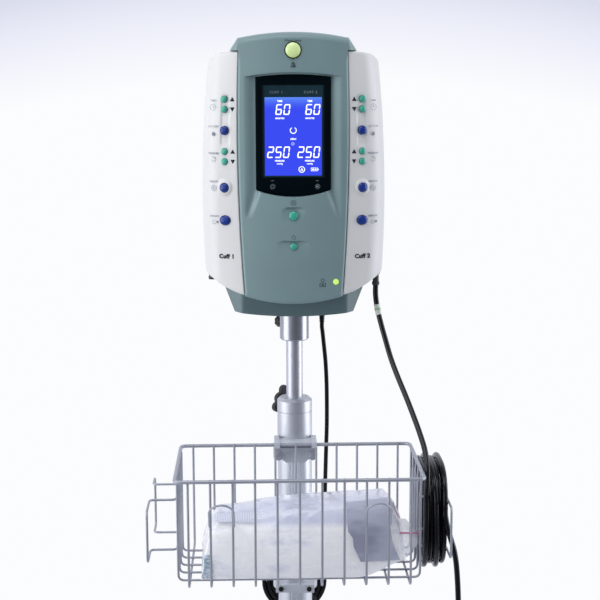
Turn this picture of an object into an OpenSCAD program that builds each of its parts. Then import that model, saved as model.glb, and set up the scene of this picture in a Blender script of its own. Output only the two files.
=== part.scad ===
// Pneumatic tourniquet system: a two-cuff pressure console on a rolling pole stand,
// with a wire basket, a hose coiled on the basket's end rack and a bagged cuff.
// Units are millimetres. +Z is up, the screen faces -Y, and the origin is on the
// floor under the axis of the pole.

/* [Console] */
// Width of the console at its widest
con_w = 232; // [222:1:242]
// Height of the console
con_h = 360; // [352:1:370]
// Reach of the front cover before the pole axis
con_front = 102; // [98:1:108]
// Reach of the rear housing behind the pole axis
con_back = 76; // [72:1:86]
// Wall of the moulded shells
wall = 3; // [2.4:0.2:3.4]
// Radius of the bowed front, seen from above
front_r = 260; // [240:5:300]
// Radius of the panels' outer corners, seen from above
corner_r = 34; // [28:1:38]
// Half width of the front cover at its widest
seam_half = 70.5; // [68:0.5:73]
// Open seam between the cover and the side panels
seam_gap = 0.8; // [0.4:0.2:1.2]
// How far the side panels sit behind the front cover
panel_set = 2; // [1:0.5:3]

/* [Screen] */
// Width of the black screen frame
bezel_w = 93; // [88:1:98]
// Height of the black screen frame at its corners
bezel_h = 139; // [132:1:142]
// Width of the screen window
window_w = 75; // [70:1:80]
// Height of the screen window
window_h = 114; // [108:1:118]
// Diameter of the alarm lamp
lamp_d = 18.4; // [16:0.2:20]

/* [Buttons] */
// Distance of the button columns from the middle
column_x = 86; // [84:0.5:89]
// Diameter of the small green buttons
green_d = 8.4; // [7:0.2:9]
// Diameter of the blue buttons
blue_d = 11; // [10:0.2:12]
// Diameter of the mode button
mode_d = 11.6; // [10:0.2:13]
// Diameter of the power button
power_d = 8.6; // [8:0.2:10]
// Travel of every button
travel = 1; // [0.6:0.1:1.4]
// Gap round every button
button_gap = 0.25; // [0.15:0.05:0.4]

/* [Pole] */
// Diameter of the sliding upper tube
upper_d = 22; // [20:0.5:24]
// Diameter of the lower tube
lower_d = 46; // [44:0.5:48]
// Wall of both tubes
tube_wall = 2; // [1.5:0.25:2.5]
// Height of the basket rim above the floor
rim_z = 860; // [800:5:920]
// Height of the collar on top of the lower tube
collar_h = 55; // [50:1:62]
// Bare length of the upper tube between collar and socket
pole_out = 79; // [76:1:110]
// Length of the upper tube inside the lower one
tube_in = 240; // [200:5:300]
// Diameter of the socket under the console
socket_d = 38.6; // [36:0.2:42]
// Height of the socket under the console
socket_h = 41; // [38:1:46]
// Running clearance of a sliding tube, on the radius
slide_fit = 0.05; // [0.02:0.01:0.1]

/* [Basket] */
// Width of the basket between the middles of its rim
basket_w = 302; // [292:1:312]
// Depth of the basket between the middles of its rim
basket_d = 166; // [160:1:174]
// Height from the rim to the bottom wires
basket_h = 134; // [126:1:140]
// Diameter of the rim
rim_d = 4.8; // [4:0.2:6]
// Diameter of the wires
wire_d = 3; // [2.6:0.2:3.6]
// Distance between neighbouring wires
wire_step = 27; // [26:0.5:28]
// Number of wires running front to back
long_wires = 11; // [9:2:11]
// Number of wires running side to side
side_wires = 5; // [4:1:5]
// Distance of the first side wire behind the front rim
side_first = 24; // [20:1:27]
// Distance from the pole axis to the back rim
basket_gap = 44; // [43:0.5:48]
// Turn of the basket on the pole, in degrees
basket_turn = 1.9; // [0:0.1:3]

/* [Hose rack] */
// Height of the rack's upper arms below the rim
ear_top = 39.5; // [38:0.5:44]
// Height of the rack's lower arms below the rim
ear_low = 104; // [100:1:106]
// Distance of the front arms behind the front rim
ear_front = 58; // [57:0.5:64]
// Distance of the back arms behind the front rim
ear_back = 125; // [119:0.5:126]
// Place of the front bar behind the front rim
bar_front = 11; // [8:1:16]
// Place of the back bar behind the front rim
bar_back = 156; // [150:1:162]

/* [Hose] */
// Outer diameter of the hose
hose_d = 7; // [6.4:0.1:7.2]
// Distance between the hose's turns, middle to middle
hose_step = 7.6; // [7.4:0.1:8]
// Half depth of the hose coil at its outermost turn
hose_half_y = 63.7; // [62:0.1:66]
// Half height of the hose coil at its outermost turn
hose_half_z = 67.5; // [66:0.1:68]
// Height of the middle of the hose coil below the rim
hose_drop = 66; // [65:0.5:67]

/* [Mains cord] */
// Outer diameter of the mains cord
mains_d = 5.8; // [5:0.1:5.9]
// Distance between the turns of the mains cord, middle to middle
mains_step = 6.4; // [6.3:0.1:6.6]
// Radius of the outermost turn of the mains cord
mains_r = 44; // [42:0.5:45]
// Height of the middle of the mains coil below the rim
mains_drop = 218; // [216:1:222]

/* [Base] */
// Number of legs and casters
leg_count = 5; // [5:1:5]
// Reach of a leg from the pole axis to its caster
leg_reach = 270; // [240:5:300]
// Diameter of the hub
hub_d = 84; // [76:1:92]
// Height of the hub
hub_h = 66; // [60:1:80]
// Height of a leg at its outer end
leg_h = 24; // [20:1:28]
// Diameter of a wheel
wheel_d = 75; // [65:1:80]
// Width of a wheel
wheel_w = 22; // [18:1:26]
// How far the wheel's axle trails its swivel
trail = 22; // [18:1:26]
// Diameter of a wheel's axle
axle_d = 8; // [6:0.5:10]

/* [Bag] */
// Width of the bagged cuff
bag_w = 232; // [200:2:240]
// Depth of the bagged cuff
bag_d = 132; // [110:2:138]
// Height of the bagged cuff
bag_h = 82; // [60:1:88]

/* [Hidden] */

shell_green = [0.42, 0.52, 0.53];
panel_white = [0.88, 0.89, 0.90];
steel = [0.80, 0.81, 0.84];
black = [0.06, 0.06, 0.07];
wire_grey = [0.72, 0.73, 0.77];
leaf_green = [0.36, 0.72, 0.28];
sky_blue = [0.12, 0.52, 0.82];

seat_gap = 0.2;
cw = con_w / 2;
split_y = -22;
cover_back = -62;
con_mid = 155;
side_r = 1600;
seam_mid = 165;
seam_r = 2200;
panel_top = con_h - 28;
panel_low = 31;
head_half = 69;
head_r = 326;
cover_low_r = 220;
cover_low = 22.5;
collar_top = rim_z + collar_h;
console_z = collar_top + pole_out + socket_h;
face_turn = asin(column_x / front_r);
bezel_low = 165.5;
window_low = bezel_low + 15.5;
bezel_y = -con_front + 7;
recess_y = -con_front + 10;
lamp_z = con_h - 23;
mode_z = 134;
power_z = 95.5;
led_at = [53, 50];
port_at = [cw - 10, -40];
port_z = 38;
gland_at = [37, 12];
knob_turn = 130;
row_z = [277.5, 265, 239, 213, 200.5, 168, 127];
row_d = [green_d, green_d, blue_d, green_d, green_d, blue_d + 0.8, blue_d];
back_z = 95;
screw_x = 70;
screw_rows = [70, 300];
leg_z = wheel_d / 2 + wheel_d / 2 + 14;
arm_x = basket_w / 2 - rim_d / 2 + 0.4 + wire_d + 0.15;
coil_x = basket_w / 2 + rim_d / 2 + 0.3 + hose_d / 2;
coil_y = (ear_front + ear_back) / 2;
bar_x = coil_x + 3 * hose_step + hose_d / 2 + 0.3 + wire_d / 2;
bow = 3;
hose_turns = 8;
hose_lay = 2;
mains_turns = 11.25;
mains_lay = 3;
clamp_t = 8;
mains_x = 41 - mains_r;
mains_y = lower_d / 2 + clamp_t + 0.8 + mains_d / 2;
hose_start = 165;
facets = 6;
rings = 24;

// Hose, from the port on the console down to the coil, then the hanging tail:
// x and y from the pole axis, height from the basket rim
hose_route = [[106, -40, 213], [106, -40, 200], [108, -41, 184], [112, -46, 166],
  [118, -55, 144], [125, -67, 120], [133, -82, 99], [142, -100, 78], [150, -118, 58],
  [157, -136, 39], [162, -152, 22], [164, -165, 5], [163.5, -173, -12]];
tail_route = [[0, 0, -4], [0.6, -0.9, -12], [3.5, -1.8, -26], [7.5, -1.8, -40],
  [11.6, -1, -54], [14.5, 0, -70], [16.5, 1, -90], [18, 1.5, -115], [19, 2, -145], [19.5, 2, -180],
  [19.5, 2, -215]];
// Mains cord, from the gland down to the coil, then from the coil to the plug
mains_route = [[37, 12, 148], [38, 13, 140], [40, 16, 120], [42, 20, 99], [43.5, 25, 70],
  [44, 29, 40], [44, 32, 8], [43, 34, -30], [42, 35, -70], [41, 35, -115],
  [41, 34.7, -165]];
plug_route = [[-3, 0, 0], [-8.2, 0.5, -1.4], [-15.4, 1, -5.6], [-20.8, 1.5, -12], [-23.6, 2, -19.8],
  [-24, 2, -28]];
plug_at = [-24, 2, -38];

function total(a, b) = [for (i = [0:len(a) - 1]) a[i] + b[i]];
// Smooth curve through hand-chosen points, with n steps in each stretch
function curve_at(p, i, t) =
  let (a = p[max(i - 1, 0)], b = p[i], c = p[i + 1], d = p[min(i + 2, len(p) - 1)])
  0.5 * (2 * b + (c - a) * t + (2 * a - 5 * b + 4 * c - d) * t * t
    + (3 * b - a - 3 * c + d) * t * t * t);
function smooth(p, n) = concat(
  [for (i = [0:len(p) - 2]) for (j = [0:n - 1]) curve_at(p, i, j / n)], [p[len(p) - 1]]);
// Rounded corners: each inner corner of a wire becomes a short curve
function rounded(p, r, n) = concat([p[0]],
  [for (i = [1:len(p) - 2])
    let (a = r * unit(p[i - 1] - p[i]), b = r * unit(p[i + 1] - p[i]))
    for (j = [0:n]) let (t = j / n) p[i] + a * (1 - t) * (1 - t) + b * t * t],
  [p[len(p) - 1]]);
function unit(v) = v / norm(v);
function along(p, i) = unit(p[min(i + 1, len(p) - 1)] - p[max(i - 1, 0)]);

// Frame of each ring, carried along the curve without twist
function side_of(t, hint) = unit(hint - (hint * t) * t);
function sides(p, hint, i = 0, found = []) = i == len(p) ? found :
  sides(p, hint, i + 1, concat(found,
    [side_of(along(p, i), i == 0 ? hint : found[i - 1])]));

// One unbroken tube swept along the points of a curve
module tube_along(p, d, n, hint) {
  s = sides(p, hint);
  m = len(p);
  points = [for (i = [0:m - 1]) let (t = along(p, i), u = s[i], v = cross(t, u))
    for (k = [0:n - 1]) p[i] + d / 2 * (cos(360 * k / n) * u + sin(360 * k / n) * v)];
  skin = [for (i = [0:m - 2]) for (k = [0:n - 1])
    let (a = i * n + k, b = i * n + (k + 1) % n)
    for (f = [[a, a + n, b], [b, a + n, b + n]]) f];
  caps = [for (k = [1:n - 2])
    for (f = [[0, k, k + 1], [(m - 1) * n, (m - 1) * n + k + 1, (m - 1) * n + k]]) f];
  polyhedron(points, concat(skin, caps), convexity = 10);
}

// A coil spirals in and out again, lay turns a layer, and climbs a layer in the half
// turn where the spiral reverses. Gives [turns in from the edge, layers climbed]
function wave(u, lay) = abs(((u + 1000 * lay * 2) % (2 * lay)) - lay);
function depth_in(u, lay) = lay - wave(u, lay);
function climbed(u, lay) = let (k = round(u / lay), near = u - k * lay)
  k == 0 ? 0 : k == 4 ? 3 : near < -0.25 ? k - 1 : near > 0.25 ? k : k - 0.5 + 2 * near;
function rounder(c) = sign(c) * pow(abs(c), 2 / bow);

function hose_point(u) = let (a = hose_start + 360 * u, e = depth_in(u, hose_lay))
  [coil_x + hose_step * climbed(u, hose_lay),
   coil_y + (hose_half_y - e * hose_step) * rounder(cos(a)),
   -hose_drop + (hose_half_z - e * hose_step) * rounder(sin(a))];
function hose_coil_points() = let (
  p = [for (i = [0:hose_turns * rings]) hose_point(i / rings)], m = len(p))
  concat([p[0] + [0, 0, hose_d]], p, [p[m - 1] - [0, 0, hose_d]]);

function mains_point(u) = let (a = -360 * u, r = mains_r - depth_in(u, mains_lay) * mains_step)
  [mains_x + r * cos(a), mains_y + mains_step * climbed(u, mains_lay),
   -mains_drop + r * sin(a)];
function mains_coil_points() = let (
  p = [for (i = [0:mains_turns * rings]) mains_point(i / rings)], m = len(p))
  concat([p[0] + [0, 0, mains_d]], p, [p[m - 1] - [mains_d, 0, 0]]);

// Least gap of a coil to itself, on points more than half a turn apart
function least_gap(p, d) = min([for (i = [0:len(p) - 1])
  for (j = [i + rings / 2 + 1:1:len(p) - 1]) norm(p[i] - p[j])]) - d;
echo(hose_coil_least_gap = least_gap(hose_coil_points(), hose_d));  // hose_coil
echo(mains_coil_least_gap = least_gap(mains_coil_points(), mains_d));  // mains_coil

module at_console() { translate([0, 0, console_z]) children(); }
module at_rim() { translate([0, 0, rim_z]) children(); }
// The basket's own frame: x from its middle, y from its front rim, z from its rim
module in_basket() {
  rotate([0, 0, basket_turn]) translate([0, -basket_gap - basket_d, rim_z]) children();
}
module front_prism(y0, y1) {
  translate([0, y1, 0]) rotate([90, 0, 0]) linear_extrude(y1 - y0) children();
}
module mirrored() {
  children();
  mirror([1, 0, 0]) children();
}
// A cylinder standing on the bowed front at angle a, from depth y0 to y1 before it
module on_face(a, z, set, y0, y1, d, d2 = 0) {
  translate([0, -con_front + set + front_r, z]) rotate([0, 0, a])
    translate([0, -front_r - y0, 0]) rotate([90, 0, 0])
      cylinder(h = y1 - y0, d1 = d, d2 = d2 == 0 ? d : d2, $fn = 48);
}

// Outline between two large arcs, seen from the front
module bowed(half, mid, r) {
  intersection() {
    translate([half - r, mid]) circle(r, $fn = 360);
    translate([r - half, mid]) circle(r, $fn = 360);
  }
}
// Plan with a bowed front and round corners
module nose_plan(half, front, r, rc, back) {
  cy = r - front;
  cx = half - rc;
  ky = cy - sqrt(pow(r - rc, 2) - pow(cx, 2));
  far = 1.2 * r / (r - rc);
  intersection() {
    translate([0, cy]) circle(r, $fn = 360);
    polygon([[0, cy], [-cx * far, cy - (cy - ky) * far], [cx * far, cy - (cy - ky) * far]]);
    translate([-half, -front - 1]) square([2 * half, front + 1 + back]);
  }
  mirrored() intersection() {
    translate([cx, ky]) circle(rc, $fn = 64);
    translate([0, -front - 1]) square([half + 1, front + 1 + back]);
  }
  translate([-half, ky]) square([2 * half, back - ky]);
}
module panel_view(i) {
  intersection() {
    bowed(cw - i, con_mid, side_r);
    mirrored() polygon([[-1, panel_top + 8 - i], [cw - 18, panel_top - 4 - i],
      [cw - 11.5 - i / 2, panel_top - 8 - i], [cw - 7 - i, panel_top - 20 - i],
      [cw + 14, panel_top - 60], [cw + 14, panel_low + 27 + i],
      [cw - 19, panel_low + 12 + i], [70, panel_low + i], [-1, panel_low - 4 + i]]);
  }
}
module cover_view(i) {
  intersection() {
    bowed(seam_half - seam_gap / 2 - i, seam_mid, seam_r);
    translate([0, con_h - 3 - head_r]) circle(head_r - i, $fn = 360);
    translate([0, cover_low + cover_low_r]) circle(cover_low_r - i, $fn = 360);
  }
}
module head_view(i, low) {
  intersection() {
    translate([0, con_h - head_r]) circle(head_r - i, $fn = 360);
    mirrored() polygon([[-1, low], [head_half + 10 - i, low],
      [head_half + 10 - i, con_h - 23 - i], [head_half - i, con_h - 7 - i],
      [head_half - 3 - i, con_h + 10], [-1, con_h + 10]]);
  }
}
module chin_view(i, top) {
  intersection() {
    translate([0, 530]) circle(530 - i, $fn = 720);
    mirrored() polygon([[-1, -5], [70 - i, -5], [75.5 - i, 3 + i], [cw - 26 - i, 38],
      [cw - 26 - i, panel_low + 8.5 + top], [70, panel_low - 0.4 + top],
      [-1, panel_low - 4.4 + top]]);
  }
}
module screen_view(w, h, low, i) {
  intersection() {
    translate([-w / 2 + i, low - 20]) square([w - 2 * i, h + 40]);
    translate([0, low + h + 3 - 353]) circle(353 - i, $fn = 360);
    translate([0, low - 8 + 135]) circle(135 - i, $fn = 180);
  }
}

// Outer form of the rear housing, and with i = wall the room inside it
module rear_form(i) {
  open = i > 0 ? 1 : 0;
  intersection() {
    front_prism(split_y - open, con_back) union() {
      panel_view(i);
      head_view(i, con_h - 60);
      chin_view(i, 4);
    }
    translate([0, 0, -1]) linear_extrude(con_h + 2)
      mirror([0, 1]) nose_plan(cw - i, con_back - i, 230 - i, 30 - i, -split_y + open);
  }
  intersection() {
    front_prism(cover_back + seat_gap + i, split_y + 1) chin_view(i, open * 5);
    translate([0, 0, -1]) linear_extrude(60) polygon([[-90 + i, 0], [-90 + i, -42],
      [-67 + i, cover_back + seat_gap + i], [67 - i, cover_back + seat_gap + i],
      [90 - i, -42], [90 - i, 0]]);
  }
  front_prism(cover_back + seat_gap - open, split_y + 1)
    head_view(i, panel_top + 1 - 3 * open);
}

module rear_housing() {
  color(shell_green) at_console() difference() {
    union() {
      difference() {
        rear_form(0);
        rear_form(wall);
      }
      mirrored() for (z = screw_rows) intersection() {
        translate([screw_x, con_back, z]) rotate([90, 0, 0])
          cylinder(h = con_back - split_y - 12, d = 10, $fn = 32);
        rear_form(0);
      }
      intersection() {
        rear_form(0);
        union() {
          for (z = [back_z, back_z + 110]) translate([-60, con_back - wall - 34, z])
            cube([120, 34.5, 3]);
          for (y = [34, 56]) translate([-56, y, 2]) cube([112, 3, 11.8]);
        }
      }
    }
    mirrored() for (z = screw_rows) {
      translate([screw_x, con_back + 1, z]) rotate([90, 0, 0])
        cylinder(h = con_back - split_y, d = 4, $fn = 24);
      translate([screw_x, con_back + 1, z]) rotate([90, 0, 0])
        cylinder(h = 17, d = 7.6, $fn = 24);
    }
    for (k = [0:6]) translate([-32, con_back - 12, 236 + 8 * k]) cube([64, 20, 3.4]);
    translate([0, 0, -1]) cylinder(h = 10, d = socket_d + 0.4, $fn = 64);
    translate([gland_at[0], gland_at[1], -1]) cylinder(h = 10, d = 10.4, $fn = 32);
    for (a = [45:90:315]) rotate([0, 0, a]) translate([24.5, 0, 1.6])
      cylinder(h = 8, d = 4, $fn = 24);
  }
}

// Recess of the screen, with slanting flanks, grown by g
module screen_recess(g) {
  intersection() {
    front_prism(-con_front - 1, recess_y + g)
      screen_view(bezel_w + 26 + 2 * g, bezel_h + 14 + 2 * g, bezel_low - 10 - g, 0);
    linear_extrude(con_h) polygon([[-bezel_w / 2 - 4 - g, recess_y + g],
      [-bezel_w / 2 - 13 - g, -con_front - 1], [bezel_w / 2 + 13 + g, -con_front - 1],
      [bezel_w / 2 + 4 + g, recess_y + g]]);
  }
}
module front_cover() {
  color(shell_green) at_console() difference() {
    intersection() {
      front_prism(-con_front - 1, cover_back) cover_view(0);
      translate([0, -con_front + front_r, 0]) cylinder(h = con_h, r = front_r, $fn = 360);
    }
    difference() {
      intersection() {
        front_prism(-con_front - 1, cover_back + 1) cover_view(wall);
        translate([0, -con_front + front_r, 0])
          cylinder(h = con_h, r = front_r - wall, $fn = 360);
      }
      screen_recess(wall);
    }
    screen_recess(0);
    front_prism(-con_front, recess_y + wall + 1)
      screen_view(window_w + 8, window_h + 8, window_low - 3, 0);
    on_face(0, lamp_z, 0, -8, 2, lamp_d + 2);
    on_face(0, mode_z, 0, -12, 2, mode_d + 2 * button_gap);
    on_face(0, power_z, 0, -12, 2, power_d + 2 * button_gap);
    on_face(asin(led_at[0] / front_r), led_at[1], 0, -8, 2, 7.6);
  }
  // Raised arcs over the two centre buttons
  color(shell_green) at_console() for (c = [[mode_z, 8.6, 38], [power_z, 13, 45]])
    intersection() {
      on_face(0, c[0], 0, -1, 0.7, 2 * c[1]);
      difference() {
        translate([0, -con_front - 5, c[0]]) rotate([-90, 0, 0]) rotate([0, 0, -90 - c[2]])
          rotate_extrude(angle = 2 * c[2], $fn = 96) translate([c[1] - 1.4, 0])
            square([1.2, 20]);
      }
    }
}

// A side panel with its finger groove and seven button holes; s is -1 on the left
module side_panel(s) {
  color(panel_white) at_console() difference() {
    intersection() {
      linear_extrude(con_h)
        nose_plan(cw, con_front - panel_set, front_r, corner_r, split_y - seat_gap);
      front_prism(-con_front, 0) difference() {
        panel_view(0);
        bowed(seam_half + seam_gap / 2, seam_mid, seam_r);
        translate([s < 0 ? 0 : -con_w, 0]) square([con_w, con_h]);
      }
    }
    intersection() {
      linear_extrude(con_h) nose_plan(cw - wall, con_front - panel_set - wall,
        front_r - wall, corner_r - wall, 1);
      front_prism(-con_front, 1) panel_view(wall);
    }
    for (k = [0:6])
      on_face(s * face_turn, row_z[k], panel_set, -12, 2, row_d[k] + 2 * button_gap);
    // Finger groove round the upper buttons
    translate([0, -con_front + panel_set + front_r, 0]) rotate([0, 0, s * face_turn])
      translate([0, -front_r + 0.8, 0]) rotate([90, 0, 0]) linear_extrude(4) {
        for (z = [row_z[2], row_z[0] + 2]) translate([0, z]) circle(d = blue_d + 4, $fn = 48);
        translate([-blue_d / 2, row_z[2]]) square([blue_d, row_z[0] - row_z[2]]);
      }
    translate([s * port_at[0], port_at[1], 0]) cylinder(h = 80, d = 8.4, $fn = 32);
  }
}
module left_panel() { mirror([1, 0, 0]) side_panel(1); }
module right_panel() { side_panel(1); }

module screen_frame() {
  color(black) at_console() difference() {
    front_prism(bezel_y, recess_y - seat_gap) screen_view(bezel_w, bezel_h, bezel_low, 0);
    front_prism(bezel_y - 1, recess_y) translate([-window_w / 2, window_low])
      square([window_w, window_h]);
  }
}
module display() {
  color([0.10, 0.24, 0.80]) at_console() {
    translate([-window_w / 2 - 3, recess_y, window_low - 3])
      cube([window_w + 6, 5, window_h + 6]);
    translate([-window_w / 2 + seat_gap, bezel_y + 1.4, window_low + seat_gap])
      cube([window_w - 2 * seat_gap, recess_y - bezel_y, window_h - 2 * seat_gap]);
  }
}
// The alarm lamp over the screen and the small mains lamp at the lower right
module indicator_lamps() {
  color([0.72, 0.80, 0.12]) at_console() {
    translate([0, -con_front, lamp_z]) rotate([90, 0, 0]) {
      intersection() {
        translate([0, 0, -lamp_d]) sphere(d = 2 * lamp_d + 3, $fn = 96);
        translate([0, 0, -7]) cylinder(h = 20, d = lamp_d, $fn = 64);
      }
      translate([0, 0, -7]) cylinder(h = 3.5, d = lamp_d + 6, $fn = 64);
    }
    on_face(asin(led_at[0] / front_r), led_at[1], 0, -6, 0.4, 7.2);
  }
}

// Electronics and pneumatics inside the console
module main_board() {
  color([0.10, 0.35, 0.20]) at_console() {
    difference() {
      translate([-52, -80, 100]) cube([104, 1.6, 190]);
      mirrored() for (z = [108, 282]) translate([46, -70, z]) rotate([90, 0, 0])
        cylinder(h = 20, d = 3.4, $fn = 24);
    }
    for (c = [[-30, 120, 24, 24], [8, 118, 34, 14], [-40, 170, 30, 40], [10, 160, 26, 26],
        [-20, 232, 44, 16], [28, 240, 12, 30]])
      translate([c[0], -78.4, c[1]]) cube([c[2], 3, c[3]]);
    mirrored() for (z = [108, 282]) translate([46, -80, z]) rotate([90, 0, 0])
      difference() {
        cylinder(h = con_front - 10 - wall - 80 - seat_gap, d = 7, $fn = 32);
        translate([0, 0, -1]) cylinder(h = 20, d = 3, $fn = 24);
      }
  }
}
module power_supply() {
  color([0.70, 0.71, 0.72]) at_console() difference() {
    translate([-55, con_back - wall - 45, back_z + 3.2]) cube([110, 36, 42]);
    translate([-52, con_back - wall - 46, back_z + 6]) cube([104, 34, 40]);
  }
}
module air_pumps() {
  color([0.30, 0.31, 0.33]) at_console() mirrored() {
    translate([30, con_back - wall - 27, back_z + 113.2]) {
      cylinder(h = 38, d = 32, $fn = 64);
      translate([0, 0, 38]) cylinder(h = 14, d = 24, $fn = 64);
      translate([0, 0, 52]) cylinder(h = 8, d = 5, $fn = 24);
      translate([-14, 0, 4]) cube([28, 17.8, 30]);
    }
  }
}
module valve_manifold() {
  color([0.55, 0.56, 0.58]) at_console() translate([-50, con_back - wall - 40, back_z + 45.4]) {
    cube([100, 31, 18]);
    for (k = [0:3]) translate([14 + 24 * k, 13, 18]) {
      cylinder(h = 22, d = 17, $fn = 48);
      translate([0, 0, 22]) cylinder(h = 5, d = 7, $fn = 24);
    }
    for (k = [0:3]) translate([14 + 24 * k, 0, 9]) rotate([90, 0, 0])
      cylinder(h = 9, d = 5, $fn = 24);
  }
}
module battery_pack() {
  color([0.15, 0.17, 0.20]) at_console() translate([-56, con_back - 62, 14])
    difference() {
      cube([112, 48, 64]);
      for (k = [1:3]) translate([28 * k - 0.6, -1, -1]) cube([1.2, 3, 66]);
      translate([10, -1, 50]) cube([16, 5, 8]);
    }
}
module cord_gland() {
  color(black) at_console() translate([gland_at[0], gland_at[1], 0]) {
    translate([0, 0, -22]) cylinder(h = 22, d1 = mains_d + 1, d2 = 9.4, $fn = 48);
    cylinder(h = wall + 2.4, d = 10, $fn = 48);
    translate([0, 0, wall + 2.2]) cylinder(h = 4, d = 15, $fn = 48);
  }
}
// A hose port under each side panel: a threaded body, a flange and a nipple
module hose_ports() {
  color([0.16, 0.17, 0.20]) at_console() mirrored()
    translate([port_at[0], port_at[1], 0]) difference() {
      union() {
        translate([0, 0, port_z]) cylinder(h = 22, d = 8, $fn = 48);
        translate([0, 0, port_z]) cylinder(h = 4, d = 9.6, $fn = 48);
        translate([-7, -6, 58]) cube([10.6, 12, 4]);
      }
      translate([0, 0, port_z - 1]) cylinder(h = 30, d = 4, $fn = 32);
    }
}
module mount_socket() {
  color(steel) at_console() difference() {
    union() {
      translate([0, 0, -socket_h]) rotate_extrude($fn = 96)
        polygon([[0, 0], [socket_d / 2 - 1.5, 0], [socket_d / 2, 1.5],
          [socket_d / 2, socket_h + 5], [0, socket_h + 5]]);
      translate([0, 0, 4.4]) cylinder(h = 4, d = 60, $fn = 96);
    }
    translate([0, 0, -socket_h - 1])
      cylinder(h = socket_h + 4, d = upper_d + 2 * slide_fit, $fn = 96);
    translate([0, 0, -socket_h / 2]) rotate([0, 0, knob_turn]) rotate([0, 90, 0])
      cylinder(h = 40, d = 6 + 2 * slide_fit, $fn = 32);
    for (a = [45:90:315]) rotate([0, 0, a]) translate([24.5, 0, 3])
      cylinder(h = 8, d = 4.4, $fn = 24);
  }
}
module screw(d, h, head, head_h) {
  cylinder(h = head_h, d = head, $fn = 32);
  translate([0, 0, -h]) cylinder(h = h, d = d, $fn = 24);
}
module housing_screws() {
  color(steel) at_console() {
    mirrored() for (z = screw_rows) translate([screw_x, con_back - 15.8, z])
      rotate([-90, 0, 0]) screw(3.6, 30, 7, 3);
    for (a = [45:90:315]) rotate([0, 0, a]) translate([24.5, 0, 8.6]) screw(3.8, 6.6, 8, 2.6);
  }
}
module upper_tube() {
  color(steel) difference() {
    translate([0, 0, collar_top - tube_in])
      cylinder(h = tube_in + pole_out + socket_h + 1, d = upper_d, $fn = 96);
    translate([0, 0, collar_top - tube_in - 1])
      cylinder(h = tube_in + pole_out + socket_h + 3, d = upper_d - 2 * tube_wall, $fn = 96);
  }
}

// One push button on a side panel: domed cap, stem and stop flange; k is its row
module side_button(s, k) {
  stand = k == 5 ? 1.8 : 1.2;
  color(k == 2 || k > 4 ? sky_blue : leaf_green) at_console()
    button_on(s * face_turn, row_z[k], panel_set, row_d[k], stand);
}
module button_on(a, z, set, d, stand) {
  on_face(a, z, set, -wall - 0.5 - travel, stand - 0.8, d);
  on_face(a, z, set, stand - 0.8, stand, d, d - 1.8);
  on_face(a, z, set, -wall - 2.5 - travel, -wall - 0.2, d + 2.4);
}
module left_time_up() { side_button(-1, 0); }
module left_time_down() { side_button(-1, 1); }
module left_set() { side_button(-1, 2); }
module left_pressure_up() { side_button(-1, 3); }
module left_pressure_down() { side_button(-1, 4); }
module left_inflate() { side_button(-1, 5); }
module left_deflate() { side_button(-1, 6); }
module right_time_up() { side_button(1, 0); }
module right_time_down() { side_button(1, 1); }
module right_set() { side_button(1, 2); }
module right_pressure_up() { side_button(1, 3); }
module right_pressure_down() { side_button(1, 4); }
module right_inflate() { side_button(1, 5); }
module right_deflate() { side_button(1, 6); }
module mode_button() {
  color(leaf_green) at_console() button_on(0, mode_z, 0, mode_d, 1.2);
}
module power_button() {
  color(leaf_green) at_console() button_on(0, power_z, 0, power_d, 1.2);
}

// Clamp knob with two lobes and its screw, pointing along +X from its seat
module lobed_knob(reach, screw_d, lobe, tilt) {
  rotate([0, 90, 0]) {
    cylinder(h = reach + 2, d = screw_d, $fn = 32);
    translate([0, 0, reach]) cylinder(h = 5, d = 11, $fn = 48);
    translate([0, 0, reach + 4]) rotate([0, 0, tilt]) linear_extrude(7) {
      circle(d = 15, $fn = 48);
      square([2 * lobe - 12, 9], center = true);
      for (x = [6 - lobe, lobe - 6]) translate([x, 0]) circle(d = 12, $fn = 48);
    }
  }
}
module socket_knob() {
  color(black) translate([0, 0, console_z - socket_h / 2]) rotate([0, 0, knob_turn])
    translate([upper_d / 2 + 0.6, 0, 0]) rotate([0, 90, 0]) {
      cylinder(h = socket_d / 2 - upper_d / 2 + 1, d = 6, $fn = 32);
      translate([0, 0, socket_d / 2 - upper_d / 2]) cylinder(h = 3, d = 11, $fn = 48);
      translate([0, 0, socket_d / 2 - upper_d / 2 + 3]) difference() {
        cylinder(h = 9, d = 17, $fn = 48);
        for (a = [0:45:315]) rotate([0, 0, a]) translate([9.6, 0, -1])
          cylinder(h = 11, d = 4, $fn = 24);
      }
    }
}
module collar_knob() {
  color(black) translate([0, 0, collar_top - 9.5]) rotate([0, 0, 123])
    translate([upper_d / 2 + 0.6, 0, 0])
      lobed_knob(lower_d / 2 - upper_d / 2 + 0.8, 6, 17, 153);
}
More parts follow.
